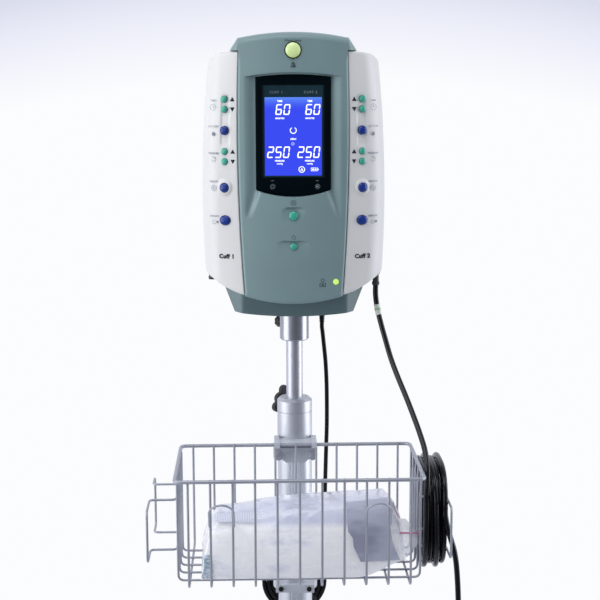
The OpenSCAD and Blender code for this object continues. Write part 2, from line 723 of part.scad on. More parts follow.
// Plastic collar: a sleeve over the tube's end and a clamping ring with small slots
module height_collar() {
  r = lower_d / 2;
  color([0.70, 0.74, 0.76]) difference() {
    translate([0, 0, rim_z]) rotate_extrude($fn = 96)
      polygon([[upper_d / 2 + slide_fit, -40], [r - tube_wall - 0.1, -40],
        [r - tube_wall - 0.1, -0.2], [r + 0.3, -0.2], [r + 0.3, 36], [r - 0.4, 36.4],
        [r - 0.4, 37.2], [r + 0.3, 37.6], [r + 0.3, collar_h - 3.5], [r - 3.4, collar_h],
        [upper_d / 2 + slide_fit, collar_h]]);
    for (a = [20:40:340]) rotate([0, 0, a]) translate([r - 8.5, -1, collar_top - 2])
      cube([3.5, 2, 4]);
    translate([0, 0, collar_top - 9.5]) rotate([0, 0, 123]) rotate([0, 90, 0])
      cylinder(h = 40, d = 6 + 2 * slide_fit, $fn = 32);
  }
}
module lower_tube() {
  color(steel) difference() {
    translate([0, 0, leg_z + 6]) cylinder(h = rim_z - leg_z - 6.4, d = lower_d, $fn = 96);
    translate([0, 0, leg_z]) cylinder(h = rim_z, d = lower_d - 2 * tube_wall, $fn = 96);
    // Fine vertical grooves down the front
    for (a = [-96:6:-84]) rotate([0, 0, a]) translate([lower_d / 2 + 0.3, 0, leg_z + hub_h])
      cylinder(h = rim_z - leg_z - hub_h - 60, d = 1.4, $fn = 16);
  }
}
// Clamp block that holds the basket's back rim
module basket_clamp() {
  lip_y = -basket_gap - rim_d / 2;
  color([0.62, 0.63, 0.66]) at_rim() rotate([0, 0, basket_turn]) difference() {
    union() {
      translate([-29, -lower_d / 2 - 10, -30]) cube([58, lower_d / 2 + 16, 24]);
      translate([-28, lip_y - 2.8, rim_d / 2 + 0.3]) cube([56, 3.2 - lip_y - lower_d / 2, 3]);
      for (x = [-23, 15]) translate([x, lip_y - 2.8, -3]) cube([8, 2.4, 6]);
      for (x = [-26, 18]) translate([x, lip_y + rim_d + 0.9, -12])
        cube([8, 10.5, rim_d / 2 + 12.8]);
      mirrored() translate([18, -lower_d / 2 - 14, -25]) cube([9, 5, 13]);
    }
    translate([0, 0, -40]) cylinder(h = 60, d = lower_d + 0.2, $fn = 96);
    translate([0, 0, -0.6]) cylinder(h = 10, d = lower_d + 1.2, $fn = 96);
    mirrored() translate([22.5, 20, -18.5]) rotate([90, 0, 0])
      cylinder(h = 60, d = 5.2, $fn = 24);
    translate([-10, -lower_d / 2 - 11, -24.5]) cube([20, 4, 1.4]);
  }
}
// Two-part ring round the tube, with a hook at the back for the mains coil
module cord_clamp() {
  r = lower_d / 2;
  hook_z = -mains_drop + mains_r - mains_lay * mains_step - mains_d / 2 - 0.4;
  hook_y = mains_y + 3 * mains_step + mains_d / 2 + 1;
  color([0.62, 0.63, 0.66]) at_rim() {
    translate([0, 0, -210]) difference() {
      union() {
        cylinder(h = 11, r = r + clamp_t - 1, $fn = 96);
        translate([-26, -r - clamp_t, 0]) cube([52, 14, 11]);
      }
      translate([0, 0, -1]) cylinder(h = 13, r = r + 0.1, $fn = 96);
      mirrored() {
        translate([15, 0.2, -1]) cube([30, 1, 13]);
        translate([19, 0, 5.5]) rotate([90, 0, 0]) cylinder(h = 40, d = 4.4, $fn = 24);
      }
    }
    translate([mains_x - 5, 0, 0]) rotate([90, 0, 90]) linear_extrude(10)
      polygon([[r + 4, -205], [r + clamp_t, -205], [r + clamp_t, hook_z - 7],
        [hook_y + 4, hook_z - 5], [hook_y + 5, hook_z + 9], [hook_y + 2, hook_z + 9],
        [hook_y, hook_z - 0.8], [r + 4, hook_z - 0.8]]);
  }
}
module clamp_screws() {
  color(black) at_rim() {
    mirrored() translate([19, -lower_d / 2 - clamp_t - 0.2, -204.5]) rotate([90, 0, 0])
      screw(4, 10, 6.6, 2.2);
    rotate([0, 0, basket_turn]) mirrored() translate([22.5, -lower_d / 2 - 14.2, -18.5])
      rotate([90, 0, 0]) screw(5, 16, 8.4, 3);
  }
}

// Round wire along a few points, with bent corners
module wire(p, d, r) {
  tube_along(rounded(p, r, 3), d, 6, unit(cross(p[1] - p[0], p[2] - p[1])));
}
// Straight wire between two points
module rod(a, b, d, n, hint) {
  hull() tube_along([a, b], d, n, hint);
}
// Four walls and a floor, welded at the rim and at the bends
module basket() {
  half = basket_w / 2;
  reach = wire_step * (long_wires - 1) / 2;
  low = -basket_h;
  inner = rim_d / 2 - 0.4;
  arch_w = wire_step * 1.1;
  bend = 6;
  up = bend + 1;
  weld = 0.1;
  rim_bend = rim_d + 4.2;
  side_low = low + 0.74 * wire_d;
  color(wire_grey) in_basket() {
    for (y = [0, basket_d])
      rod([-half + rim_bend + weld, y, 0], [half - rim_bend - weld, y, 0], rim_d, 8,
        [0, 0, 1]);
    for (m = [-1, 1]) {
      rod([m * half, rim_bend + weld, 0], [m * half, basket_d - rim_bend - weld, 0],
        rim_d, 8, [0, 0, 1]);
      for (e = [[0, rim_bend], [basket_d, basket_d - rim_bend]])
        tube_along(rounded([[m * (half - rim_bend), e[0], 0], [m * half, e[0], 0],
          [m * half, e[1], 0]], rim_bend - 2, 4), rim_d, 8, [0, 0, 1]);
    }
    for (x = [-reach:wire_step:reach]) {
      for (y = [inner, basket_d - inner])
        rod([x, y, 0.6], [x, y, low + up + weld], wire_d, 6, [1, 0, 0]);
      wire([[x, inner, low + up], [x, inner, low], [x, basket_d - inner, low],
        [x, basket_d - inner, low + up]], wire_d, bend);
    }
    for (k = [0:side_wires - 1]) {
      y = side_first + k * wire_step;
      for (x = [-half + inner, half - inner])
        rod([x, y, 0.5], [x, y, side_low + up + weld], wire_d, 6, [0, 1, 0]);
      wire([[-half + inner, y, side_low + up], [-half + inner, y, side_low],
        [half - inner, y, side_low], [half - inner, y, side_low + up]], wire_d, bend);
    }
    // Label holder arches leaning forward on the front wires
    for (x = [-reach + 1.5 * wire_step, reach - 1.5 * wire_step])
      wire([[x - arch_w / 2, 0.3, -56], [x - arch_w / 2, -20, -23],
        [x + arch_w / 2, -20, -23], [x + arch_w / 2, 0.3, -56]], wire_d - 0.4, 5);
  }
}
// Racks of two ears on each end of the basket, for winding the hose, with weld pads
module hose_racks() {
  wall_x = basket_w / 2 - rim_d / 2 + 0.4;
  color(wire_grey) in_basket()
    for (m = [0, 1]) mirror([m, 0, 0]) for (e = [[ear_front, bar_front], [ear_back, bar_back]]) {
      in = e[0] + sign(coil_y - e[0]) * 24;
      wire([[arm_x, in, -ear_top], [arm_x, e[0], -ear_top], [bar_x, e[0], -ear_top],
        [bar_x, e[1], -ear_top], [bar_x, e[1], -ear_low], [bar_x, e[0], -ear_low],
        [arm_x, e[0], -ear_low], [arm_x, in, -ear_low]], wire_d, 5);
      for (z = [ear_top, ear_low]) hull() translate([wall_x, 0, -z])
        translate([wire_d / 2 + 0.1, in - sign(coil_y - e[0]) * 4 - 1.8, -1.1])
          cube([1.6, 3.5, 2.3]);
    }
}

// Five-leg base
module star_base() {
  color([0.55, 0.56, 0.58]) difference() {
    union() {
      translate([0, 0, leg_z - 4]) rotate_extrude($fn = 96)
        polygon([[0, 0], [hub_d / 2, 0], [hub_d / 2, hub_h * 0.55],
          [lower_d / 2 + 7, hub_h + 4], [0, hub_h + 4]]);
      for (k = [0:leg_count - 1]) rotate([0, 0, -90 + 360 / leg_count * k]) {
        intersection() {
          translate([0, 0, leg_z - 4]) linear_extrude(hub_h)
            polygon([[20, -24], [leg_reach, -15], [leg_reach, 15], [20, 24]]);
          rotate([90, 0, 0]) translate([0, 0, -40]) linear_extrude(80)
            polygon([[20, leg_z - 4], [leg_reach - 20, leg_z], [leg_reach, leg_z],
              [leg_reach, leg_z + leg_h], [leg_reach - 30, leg_z + leg_h + 3],
              [20, leg_z + hub_h * 0.62]]);
        }
        translate([leg_reach, 0, leg_z]) cylinder(h = leg_h, d = 30, $fn = 64);
      }
    }
    translate([0, 0, leg_z + 6]) cylinder(h = hub_h, d = lower_d + 0.3, $fn = 96);
    for (k = [0:leg_count - 1]) rotate([0, 0, -90 + 360 / leg_count * k])
      translate([leg_reach, 0, leg_z - 6]) cylinder(h = leg_h, d = 11.1, $fn = 48);
  }
}
module at_leg(k) {
  rotate([0, 0, -90 + 360 / leg_count * k]) translate([leg_reach, 0, 0]) children();
}
module caster_fork(k) {
  cheek = wheel_w / 2 + 1.5;
  color([0.68, 0.69, 0.71]) at_leg(k) {
    translate([0, 0, leg_z - 7]) cylinder(h = leg_h - 2, d = 11, $fn = 48);
    translate([0, 0, leg_z - 4.4]) cylinder(h = 4, d = 26, $fn = 64);
    translate([0, 0, leg_z - 10]) cylinder(h = 6, d = 34, $fn = 64);
    for (s = [-1, 1]) rotate([90, 0, 0]) translate([0, 0, s * (cheek + 1.5) - 1.5])
      linear_extrude(3) difference() {
        union() {
          polygon([[-15, leg_z - 4], [15, leg_z - 4], [trail + 9, wheel_d / 2 + 4],
            [trail + 9, wheel_d / 2 - 4], [trail - 9, wheel_d / 2 - 4]]);
          translate([trail, wheel_d / 2]) circle(d = 20, $fn = 48);
        }
      }
    translate([trail, cheek + 3, wheel_d / 2]) rotate([90, 0, 0])
      cylinder(h = 2 * cheek + 6, d = axle_d, $fn = 48);
  }
}
module caster_wheel(k) {
  r = wheel_d / 2;
  w = wheel_w / 2;
  color([0.30, 0.31, 0.33]) at_leg(k) translate([trail, 0, r]) rotate([90, 0, 0])
    rotate_extrude($fn = 96) polygon([[axle_d / 2 + slide_fit, -w - 1],
      [axle_d / 2 + 5, -w - 1], [axle_d / 2 + 5, -w + 4], [r - 9, -w + 4], [r - 8, -w],
      [r - 3, -w], [r - 0.8, -w + 2.4], [r, -w + 6], [r, w - 6], [r - 0.8, w - 2.4],
      [r - 3, w], [r - 8, w], [r - 9, w - 4], [axle_d / 2 + 5, w - 4],
      [axle_d / 2 + 5, w + 1], [axle_d / 2 + slide_fit, w + 1]]);
}
module caster_fork_1() { caster_fork(0); }
module caster_fork_2() { caster_fork(1); }
module caster_fork_3() { caster_fork(2); }
module caster_fork_4() { caster_fork(3); }
module caster_fork_5() { caster_fork(4); }
module caster_wheel_1() { caster_wheel(0); }
module caster_wheel_2() { caster_wheel(1); }
module caster_wheel_3() { caster_wheel(2); }
module caster_wheel_4() { caster_wheel(3); }
module caster_wheel_5() { caster_wheel(4); }

// From the basket's frame to the frame of the pole, heights kept from the rim
function from_basket(p) = let (y = p[1] - basket_gap - basket_d)
  [p[0] * cos(basket_turn) - y * sin(basket_turn),
   p[0] * sin(basket_turn) + y * cos(basket_turn), p[2]];
module hose_run() {
  inlet = from_basket(hose_coil_points()[0]);
  outlet = hose_coil_points()[hose_turns * rings + 2];
  color(black) at_rim() {
    tube_along(concat(smooth(hose_route, 1), [inlet + [0, 0, hose_d], inlet]),
      hose_d, 8, [1, 0, 0]);
    tube_along([for (p = smooth(concat([[0, 0, 0]], tail_route), 1))
      from_basket(outlet + p)], hose_d, 8, [1, 0, 0]);
  }
}
module hose_coil() {
  color(black) in_basket() tube_along(hose_coil_points(), hose_d, facets, [1, 0, 0]);
}
module hose_connector() {
  outlet = hose_coil_points()[hose_turns * rings + 2];
  color([0.80, 0.82, 0.80]) at_rim() translate(from_basket(outlet + tail_route[len(tail_route) - 1]))
    translate([0, 0, -30]) difference() {
      union() {
        translate([0, 0, 20]) cylinder(h = 10, d = 10, $fn = 48);
        translate([0, 0, 6]) cylinder(h = 14, d = 14, $fn = 48);
        cylinder(h = 6, d = 11, $fn = 48);
      }
      translate([0, 0, -1]) cylinder(h = 24, d = 5, $fn = 32);
      for (a = [0:30:330]) rotate([0, 0, a]) translate([7.4, 0, 5])
        cylinder(h = 16, d = 2, $fn = 16);
    }
}
module mains_cord() {
  inlet = mains_coil_points()[0];
  outlet = mains_coil_points()[mains_turns * rings + 2];
  color(black) at_rim() {
    tube_along(concat([[37, 12, console_z - 22 - rim_z]], mains_route,
      [inlet + [0, 0, mains_d], inlet]), mains_d, 8, [1, 0, 0]);
    tube_along([for (p = concat([[0, 0, 0]], plug_route, [plug_at])) outlet + p],
      mains_d, 8, [0, 1, 0]);
  }
}
module mains_coil() {
  color(black) at_rim() tube_along(mains_coil_points(), mains_d, facets, [0, 1, 0]);
}
module mains_plug() {
  outlet = mains_coil_points()[mains_turns * rings + 2];
  color([0.20, 0.20, 0.21]) at_rim() translate(outlet + plug_at) mirror([0, 0, 1]) {
    cylinder(h = 14, d1 = 9, d2 = 16, $fn = 48);
    translate([-12, -9, 14]) cube([24, 18, 22]);
    for (x = [-6.35, 6.35]) translate([x - 0.75, -3.2, 36]) cube([1.5, 6.4, 16]);
    translate([0, 6, 36]) cylinder(h = 18, d = 4.8, $fn = 32);
  }
}
module bagged_cuff() {
  r = 16;
  low = -basket_h + 1.18 * wire_d + 0.3 + r;
  color([0.84, 0.85, 0.92]) in_basket() translate([14, basket_d / 2 - 4, 0]) hull() {
    for (x = [-1, 1]) for (y = [-1, 1]) {
      translate([x * (bag_w / 2 - r), y * (bag_d / 2 - r), low]) sphere(r, $fn = 20);
      translate([x * (bag_w / 2 - 1.6 * r), y * (bag_d / 2 - 1.3 * r),
        low + bag_h - 2 * r]) sphere(r, $fn = 20);
    }
  }
}

rear_housing();
front_cover();
left_panel();
right_panel();
screen_frame();
display();
indicator_lamps();
main_board();
power_supply();
air_pumps();
valve_manifold();
battery_pack();
cord_gland();
hose_ports();
mount_socket();
housing_screws();
upper_tube();
left_time_up();
left_time_down();
left_set();
left_pressure_up();
left_pressure_down();
left_inflate();
left_deflate();
right_time_up();
right_time_down();
right_set();
right_pressure_up();
right_pressure_down();
right_inflate();
right_deflate();
mode_button();
power_button();
height_collar();
lower_tube();
basket_clamp();
cord_clamp();
clamp_screws();
basket();
hose_racks();
star_base();
socket_knob();
collar_knob();
caster_fork_1();
caster_fork_2();
caster_fork_3();
caster_fork_4();
caster_fork_5();
caster_wheel_1();
caster_wheel_2();
caster_wheel_3();
caster_wheel_4();
caster_wheel_5();
hose_run();
hose_coil();
hose_connector();
mains_cord();
mains_coil();
mains_plug();
bagged_cuff();
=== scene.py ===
# %% [markdown]
# # A pneumatic tourniquet system, dressed round its CAD frame
#
# The object is a pressure console on a rolling pole stand: two moulded side panels
# with push buttons, a bowed grey-green cover with a lit display, a steel pole, a wire
# basket with a bagged cuff, an air hose on the basket's rack and a mains cord.
# Sizes here are in millimetres, the CAD frame is in metres, and one helper converts.

# %% The frame
import math

import bmesh
import bpy
from mathutils import Matrix, Vector, noise
from mathutils.bvhtree import BVHTree


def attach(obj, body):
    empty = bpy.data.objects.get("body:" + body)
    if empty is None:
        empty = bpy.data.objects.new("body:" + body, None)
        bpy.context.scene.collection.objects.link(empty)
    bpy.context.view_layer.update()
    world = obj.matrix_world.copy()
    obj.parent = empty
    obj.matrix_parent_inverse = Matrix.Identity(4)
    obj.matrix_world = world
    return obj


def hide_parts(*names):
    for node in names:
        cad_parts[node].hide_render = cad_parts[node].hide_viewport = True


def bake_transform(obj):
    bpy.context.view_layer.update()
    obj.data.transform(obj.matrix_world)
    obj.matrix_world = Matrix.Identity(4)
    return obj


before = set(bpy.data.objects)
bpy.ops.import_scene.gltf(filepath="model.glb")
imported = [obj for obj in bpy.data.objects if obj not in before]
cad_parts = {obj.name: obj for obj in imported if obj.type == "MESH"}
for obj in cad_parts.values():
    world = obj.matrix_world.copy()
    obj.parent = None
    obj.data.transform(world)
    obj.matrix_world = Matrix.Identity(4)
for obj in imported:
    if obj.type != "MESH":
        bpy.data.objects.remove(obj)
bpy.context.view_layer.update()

scene = bpy.context.scene

# %% [markdown]
# ## Camera
#
# The photograph is taken with a long lens, a little above the console and looking
# slightly down. The camera is made first, because what lies on the bag is placed along
# its lines of sight.

# %% Camera
MM = 0.001
PITCH, ROLL = 0.16023, -0.00295
SENSOR_MM, PICTURE_PX, FOCAL_PX = 36, 600, 1379.587
CAMERA_AT = (0.00769, -1.81204, 1.33933)
ahead = Vector((0, math.cos(PITCH), -math.sin(PITCH)))
level = Vector((1, 0, 0))
over = level.cross(ahead)
across = level * math.cos(ROLL) + over * math.sin(ROLL)
upward = over * math.cos(ROLL) - level * math.sin(ROLL)
camera = bpy.data.objects.new("camera", bpy.data.cameras.new("camera"))
scene.collection.objects.link(camera)
camera.data.sensor_width = SENSOR_MM
camera.data.lens = SENSOR_MM * FOCAL_PX / PICTURE_PX
camera.matrix_world = Matrix.Translation(CAMERA_AT) @ Matrix(
    (across, upward, -ahead)).transposed().to_4x4()
scene.camera = camera
print("camera lens", round(camera.data.lens, 1), "mm")

# %% [markdown]
# ## The routes of the hose and the mains cord
#
# The hose leaves the port under the right panel, hangs down to the basket's rack,
# goes round it eight times and ends in a hanging connector. The mains cord leaves the
# console's underside, follows the pole down and is wound on a hook behind it. Both take
# the CAD model's routes, so that solids and looks agree.

# %% Places and frames shared with the CAD model
def moved(x, y, z):
    """A frame moved along the three axes."""
    return Matrix.Translation((x, y, z))


def spun(degrees, axis):
    """A frame turned round one axis."""
    return Matrix.Rotation(math.radians(degrees), 4, axis)


RIM_Z, CONSOLE_Z, COLLAR_TOP = 860, 1035, 915
BASKET_TURN = 1.9
BASKET_W, BASKET_D, BASKET_H, BASKET_GAP = 302, 166, 134, 44
CONSOLE = moved(0, 0, CONSOLE_Z)
RIM = moved(0, 0, RIM_Z)
BASKET = RIM @ spun(BASKET_TURN, "Z") @ moved(0, -BASKET_GAP - BASKET_D, 0)
HOSE_D, HOSE_STEP, HOSE_TURNS, HOSE_LAY = 7, 7.6, 8, 2
MAINS_D, MAINS_STEP, MAINS_TURNS, MAINS_LAY, MAINS_R = 5.8, 6.4, 11.25, 3, 44
MAINS_X, MAINS_Y, MAINS_Z = -3, 34.7, -218
COIL_X, COIL_Y, COIL_Z = 157.2, 91.5, -66
COIL_HALF_Y, COIL_HALF_Z, COIL_START = 63.7, 67.5, 165
STEPS_ROUND = 48

hose_route = [(106, -40, 213), (106, -40, 200), (108, -41, 184), (112, -46, 166),
    (118, -55, 144), (125, -67, 120), (133, -82, 99), (142, -100, 78), (150, -118, 58),
    (157, -136, 39), (162, -152, 22), (164, -165, 5), (163.5, -173, -12)]
tail_route = [(0, 0, 0), (0, 0, -4), (0.6, -0.9, -12), (3.5, -1.8, -26),
    (7.5, -1.8, -40), (11.6, -1, -54), (14.5, 0, -70), (16.5, 1, -90), (18, 1.5, -115),
    (19, 2, -145), (19.5, 2, -180), (19.5, 2, -215)]
mains_route = [(37, 12, 153), (37, 12, 148), (38, 13, 140), (40, 16, 120), (42, 20, 99),
    (43.5, 25, 70), (44, 29, 40), (44, 32, 8), (43, 34, -30), (42, 35, -70),
    (41, 35, -115), (41, 34.7, -165)]
plug_route = [(0, 0, 0), (-3, 0, 0), (-8.2, 0.5, -1.4), (-15.4, 1, -5.6),
    (-20.8, 1.5, -12), (-23.6, 2, -19.8), (-24, 2, -28), (-24, 2, -38)]


# %% How a coil is laid: layers spiral in and out again and climb where they reverse
def depth_in(u, lay):
    """How many cords deep a turn lies under the outermost one."""
    return lay - abs((u % (2 * lay)) - lay)


def climbed(u, lay):
    """How many cords up the coil has climbed after u turns."""
    k = math.floor(u / lay + 0.5)
    near = u - k * lay
    if k in (0, 4):
        return 0 if k == 0 else 3
    return k - 1 if near < -0.25 else k if near > 0.25 else k - 0.5 + 2 * near


def rounder(c):
    """Pushes a circle's sine or cosine outwards, towards a rounded square."""
    return math.copysign(abs(c) ** (2 / 3), c)


def hose_point(u):
    """Point of the hose's coil after u turns, in the basket's frame."""
    a, inwards = math.radians(COIL_START + 360 * u), depth_in(u, HOSE_LAY) * HOSE_STEP
    return Vector((COIL_X + HOSE_STEP * climbed(u, HOSE_LAY),
        COIL_Y + (COIL_HALF_Y - inwards) * rounder(math.cos(a)),
        COIL_Z + (COIL_HALF_Z - inwards) * rounder(math.sin(a))))


def mains_point(u):
    """Point of the mains cord's coil after u turns, in the frame of the rim."""
    a, r = -math.tau * u, MAINS_R - depth_in(u, MAINS_LAY) * MAINS_STEP
    return Vector((MAINS_X + r * math.cos(a),
        MAINS_Y + MAINS_STEP * climbed(u, MAINS_LAY), MAINS_Z + r * math.sin(a)))


def eased(points, steps):
    """A smooth curve through the points, with so many steps in each stretch."""
    points = [Vector(p) for p in points]
    out = []
    for i in range(len(points) - 1):
        a, b, c = points[max(i - 1, 0)], points[i], points[i + 1]
        d = points[min(i + 2, len(points) - 1)]
        for j in range(steps):
            t = j / steps
            out.append(0.5 * (2 * b + (c - a) * t + (2 * a - 5 * b + 4 * c - d) * t * t
                + (3 * b - a - 3 * c + d) * t ** 3))
    return out + [points[-1]]


# %% The two centrelines, in millimetres and in the frame of the whole object
def whole_path(route, point_at, turns, diameter, coil_frame, leave, end_route, end_steps):
    """The route down to a coil, the coil's turns and the route from it to the end."""
    up = Vector((0, 0, diameter))
    loops = [point_at(i / STEPS_ROUND) for i in range(int(turns * STEPS_ROUND) + 1)]
    top = coil_frame @ (loops[0] + up)
    return (eased([RIM @ Vector(p) for p in route] + [top + up, top], 5)
        + [coil_frame @ p for p in loops]
        + [coil_frame @ (loops[-1] + Vector(leave) + p)
            for p in eased(end_route, end_steps)])


hose_path = whole_path(hose_route, hose_point, HOSE_TURNS, HOSE_D, BASKET,
    (0, 0, -HOSE_D), tail_route, 5)
mains_path = whole_path(mains_route, mains_point, MAINS_TURNS, MAINS_D, RIM,
    (-MAINS_D, 0, 0), plug_route, 4)


def run_length(path):
    """The length of a path through its points."""
    return sum((b - a).length for a, b in zip(path, path[1:]))


print("hose", round(run_length(hose_path)), "mm, mains cord",
    round(run_length(mains_path)), "mm")

# %% [markdown]
# ## Finishes
#
# Every finish is a small node tree on Object coordinates. A signal wraps one socket,
# so that shader maths reads as arithmetic. What is the same all over a surface is set
# on the shader's own socket, and what varies is wired in.

# %% Signals and finishes
def fill_ramp(ramp, stops):
    """Gives a colour ramp its (place, colour) stops, in ascending order."""
    while len(ramp.elements) < len(stops):
        ramp.elements.new(0.5)
    for stop, (at, color) in zip(ramp.elements, stops):
        stop.position, stop.color = at, (*color, 1)


def new_node(tree, kind, settings, inputs):
    """A node with its settings; an input is a value, a socket or a signal."""
    made = tree.nodes.new(kind)
    for key, value in settings.items():
        if key == "stops":
            fill_ramp(made.color_ramp, value)
        else:
            setattr(made, key, value)
    for key, value in inputs.items():
        socket = getattr(value, "socket", value)
        if isinstance(socket, bpy.types.NodeSocket):
            tree.links.new(socket, made.inputs[key])
        else:
            made.inputs[key].default_value = value
    return made


class Signal:
    """One output socket of a finish's tree; arithmetic on it adds Math nodes."""

    def __init__(self, finish, socket):
        self.finish, self.socket = finish, socket

    def _maths(self, kind, *values, clamp=False):
        return self.finish.node("ShaderNodeMath",
            {"operation": kind, "use_clamp": clamp}, dict(enumerate(values)))

    def __add__(self, other):
        return self._maths("ADD", self, other)

    def __sub__(self, other):
        return self._maths("SUBTRACT", self, other)

    def __mul__(self, other):
        return self._maths("MULTIPLY", self, other)

    def __pow__(self, other):
        return self._maths("POWER", self, other)

    def sine(self):
        return self._maths("SINE", self)

    def between(self, low, high):
        """0 below low, 1 above high, with a straight ramp in the middle."""
        return self._maths("MULTIPLY", self - low, 1 / (high - low), clamp=True)


class Finish:
    """A material round one Principled shader."""

    def __init__(self, name, color, roughness=0.5, **constants):
        self.material = bpy.data.materials.new(name)
        self.material.use_nodes = True
        self.tree = self.material.node_tree
        self.shader = self.tree.nodes["Principled BSDF"]
        self.shader.inputs["Base Color"].default_value = (*color, 1)
        self.shader.inputs["Roughness"].default_value = roughness
        for key, value in constants.items():
            self.shader.inputs[key.replace("_", " ")].default_value = value
        self.place = self.node("ShaderNodeTexCoord", {}, {}, "Object")

    def node(self, kind, settings, inputs, output=0):
        return Signal(self, new_node(self.tree, kind, settings, inputs).outputs[output])

    def feed(self, socket, signal):
        self.tree.links.new(signal.socket, self.shader.inputs[socket])

    def specks(self, scale, detail=3, rough=0.5, stretch=(1, 1, 1)):
        """Soft noise from 0 to 1, scale in lumps to a metre."""
        place = self.node("ShaderNodeMapping", {}, {0: self.place, 3: stretch})
        return self.node("ShaderNodeTexNoise", {}, {"Vector": place, "Scale": scale,
            "Detail": detail, "Roughness": rough})

    def axis(self, letter):
        """The place along one axis of the object, in metres."""
        return self.node("ShaderNodeSeparateXYZ", {}, {0: self.place},
            "XYZ".index(letter))

    def blend_tones(self, share, low, high):
        return self.node("ShaderNodeMix", {"data_type": "RGBA"},
            {0: share, 6: (*low, 1) if isinstance(low, tuple) else low,
                7: (*high, 1) if isinstance(high, tuple) else high}, 2)

    def raised(self, height, strength, distance):
        return self.node("ShaderNodeBump", {},
            {"Strength": strength, "Distance": distance, "Height": height})


def tone(color, share):
    """The colour times a share, for slightly darker and lighter neighbours."""
    return tuple(min(1, c * share) for c in color)


# %% The three kinds of finish, and the finishes
def moulded(name, color, roughness=0.42, grain=0.25, drift=0.05, **constants):
    """Moulded plastic: fine grain, slow drift of the colour, rubbed patches."""
    f = Finish(name, color, roughness, **constants)
    slow = f.specks(9, 4)
    fine = f.specks(2600, 2)
    f.feed("Base Color", f.blend_tones(slow.between(0.3, 0.7),
        tone(color, 1 - drift), tone(color, 1 + drift)))
    rubbed = f.specks(38, 5, 0.6).between(0.35, 0.75)
    f.feed("Roughness", rubbed * 0.1 + fine * 0.06 + (roughness - 0.08))
    f.feed("Normal", f.raised(fine, grain, 0.00006))
    return f


def drawn_metal(name, color, roughness, along="Z"):
    """Brushed or drawn metal: fine lines along one axis."""
    f = Finish(name, color, roughness, Metallic=1.0)
    thin = [900, 900, 900]
    thin["XYZ".index(along)] = 14
    lines = f.specks(1, 3, 0.6, stretch=tuple(thin))
    cloud = f.specks(14, 4)
    f.feed("Base Color", f.blend_tones(lines * 0.5 + cloud * 0.5,
        tone(color, 0.86), tone(color, 1.06)))
    f.feed("Roughness", lines * 0.14 + cloud * 0.1 + (roughness - 0.12))
    f.feed("Normal", f.raised(lines, 0.25, 0.00005))
    return f


def coated(name, color, roughness, metallic=0.0):
    """Powder coat or paint: orange-peel skin with slightly darker hollows."""
    f = Finish(name, color, roughness, Metallic=metallic)
    peel = f.specks(900, 2)
    wear = f.specks(26, 5, 0.65)
    f.feed("Base Color", f.blend_tones(wear.between(0.35, 0.7), tone(color, 0.93),
        tone(color, 1.04)))
    f.feed("Roughness", wear * 0.16 + (roughness - 0.08))
    f.feed("Normal", f.raised(peel, 0.22, 0.00012))
    return f


shell_green = moulded("shell_green", (0.188, 0.281, 0.288), 0.38)
# The housing's green is a darker copy of the cover's green: painted shade for the chin
# under the cover's overhang.
housing_shaded_green = moulded("housing_green_shaded", (0.118, 0.184, 0.193), 0.42)
panel_white = moulded("panel_white", (0.700, 0.698, 0.686), 0.38, drift=0.02)
frame_black = moulded("screen_black", (0.0015, 0.0045, 0.0065), 0.24, 0.05, 0.1,
    Specular_IOR_Level=0.04)
knob_black = moulded("knob_black", (0.012, 0.012, 0.013), 0.5, 0.5, 0.15)
rubber_black = moulded("hose_black", (0.003, 0.003, 0.0045), 0.17, 0.15, 0.2,
    Specular_IOR_Level=0.32)
cord_black = moulded("cord_black", (0.003, 0.003, 0.0045), 0.3, 0.3, 0.2,
    Specular_IOR_Level=0.22)
tyre_grey = moulded("tyre_grey", (0.085, 0.088, 0.095), 0.6, 0.6, 0.15)
hub_grey = moulded("hub_grey", (0.32, 0.33, 0.35), 0.45)
plug_black = moulded("plug_black", (0.03, 0.03, 0.032), 0.5, 0.4, 0.1)
battery_case = moulded("battery_case", (0.02, 0.024, 0.032), 0.5)
steel = drawn_metal("drawn_steel", (0.58, 0.59, 0.65), 0.43)
satin_alloy = drawn_metal("satin_alloy", (0.68, 0.70, 0.75), 0.40)
turned_alloy = drawn_metal("turned_alloy", (0.65, 0.66, 0.71), 0.46, "X")
zinc = drawn_metal("zinc_plate", (0.62, 0.63, 0.65), 0.3, "Y")
clamp_grey = coated("clamp_grey", (0.50, 0.52, 0.57), 0.42)
base_grey = coated("base_grey", (0.36, 0.37, 0.39), 0.4)
fork_grey = coated("fork_grey", (0.50, 0.51, 0.53), 0.3, 0.7)
pump_grey = coated("pump_grey", (0.08, 0.083, 0.09), 0.45)
black_oxide = coated("black_oxide", (0.02, 0.02, 0.022), 0.38, 0.6)
wire_silver = coated("wire_silver", (0.37, 0.385, 0.44), 0.36, 0.45)
ink_dark = moulded("ink_dark", (0.008, 0.012, 0.018), 0.5, 0.1, 0.1,
    Specular_IOR_Level=0.2)
ink_grey = moulded("ink_grey", (0.27, 0.29, 0.36), 0.5, 0.1, 0.1)
ink_teal = moulded("ink_teal", (0.035, 0.062, 0.068), 0.5, 0.1, 0.1)
print(len(bpy.data.materials), "finishes so far")

# %% [markdown]
# ## From mesh code to a piece
#
# A piece is shaped in millimetres in a bmesh, turned into metres once, and handed to
# the body that carries it. Round stock, such as wire, hose and cord, is a curve with a
# bevel, turned into a mesh.

# %% Handing a piece over
def link(obj):
    scene.collection.objects.link(obj)
    return obj


def piece(name, bm, finish, body, replaces=(), place=None, sharp=35):
    """A bmesh in millimetres becomes a piece in metres that rides on its body."""
    if place is not None:
        bmesh.ops.transform(bm, matrix=place, verts=bm.verts)
    bmesh.ops.scale(bm, vec=(MM, MM, MM), verts=bm.verts)
    mesh = bpy.data.meshes.new(name)
    bm.to_mesh(mesh)
    bm.free()
    return finished(name, mesh, finish, body, replaces, sharp)


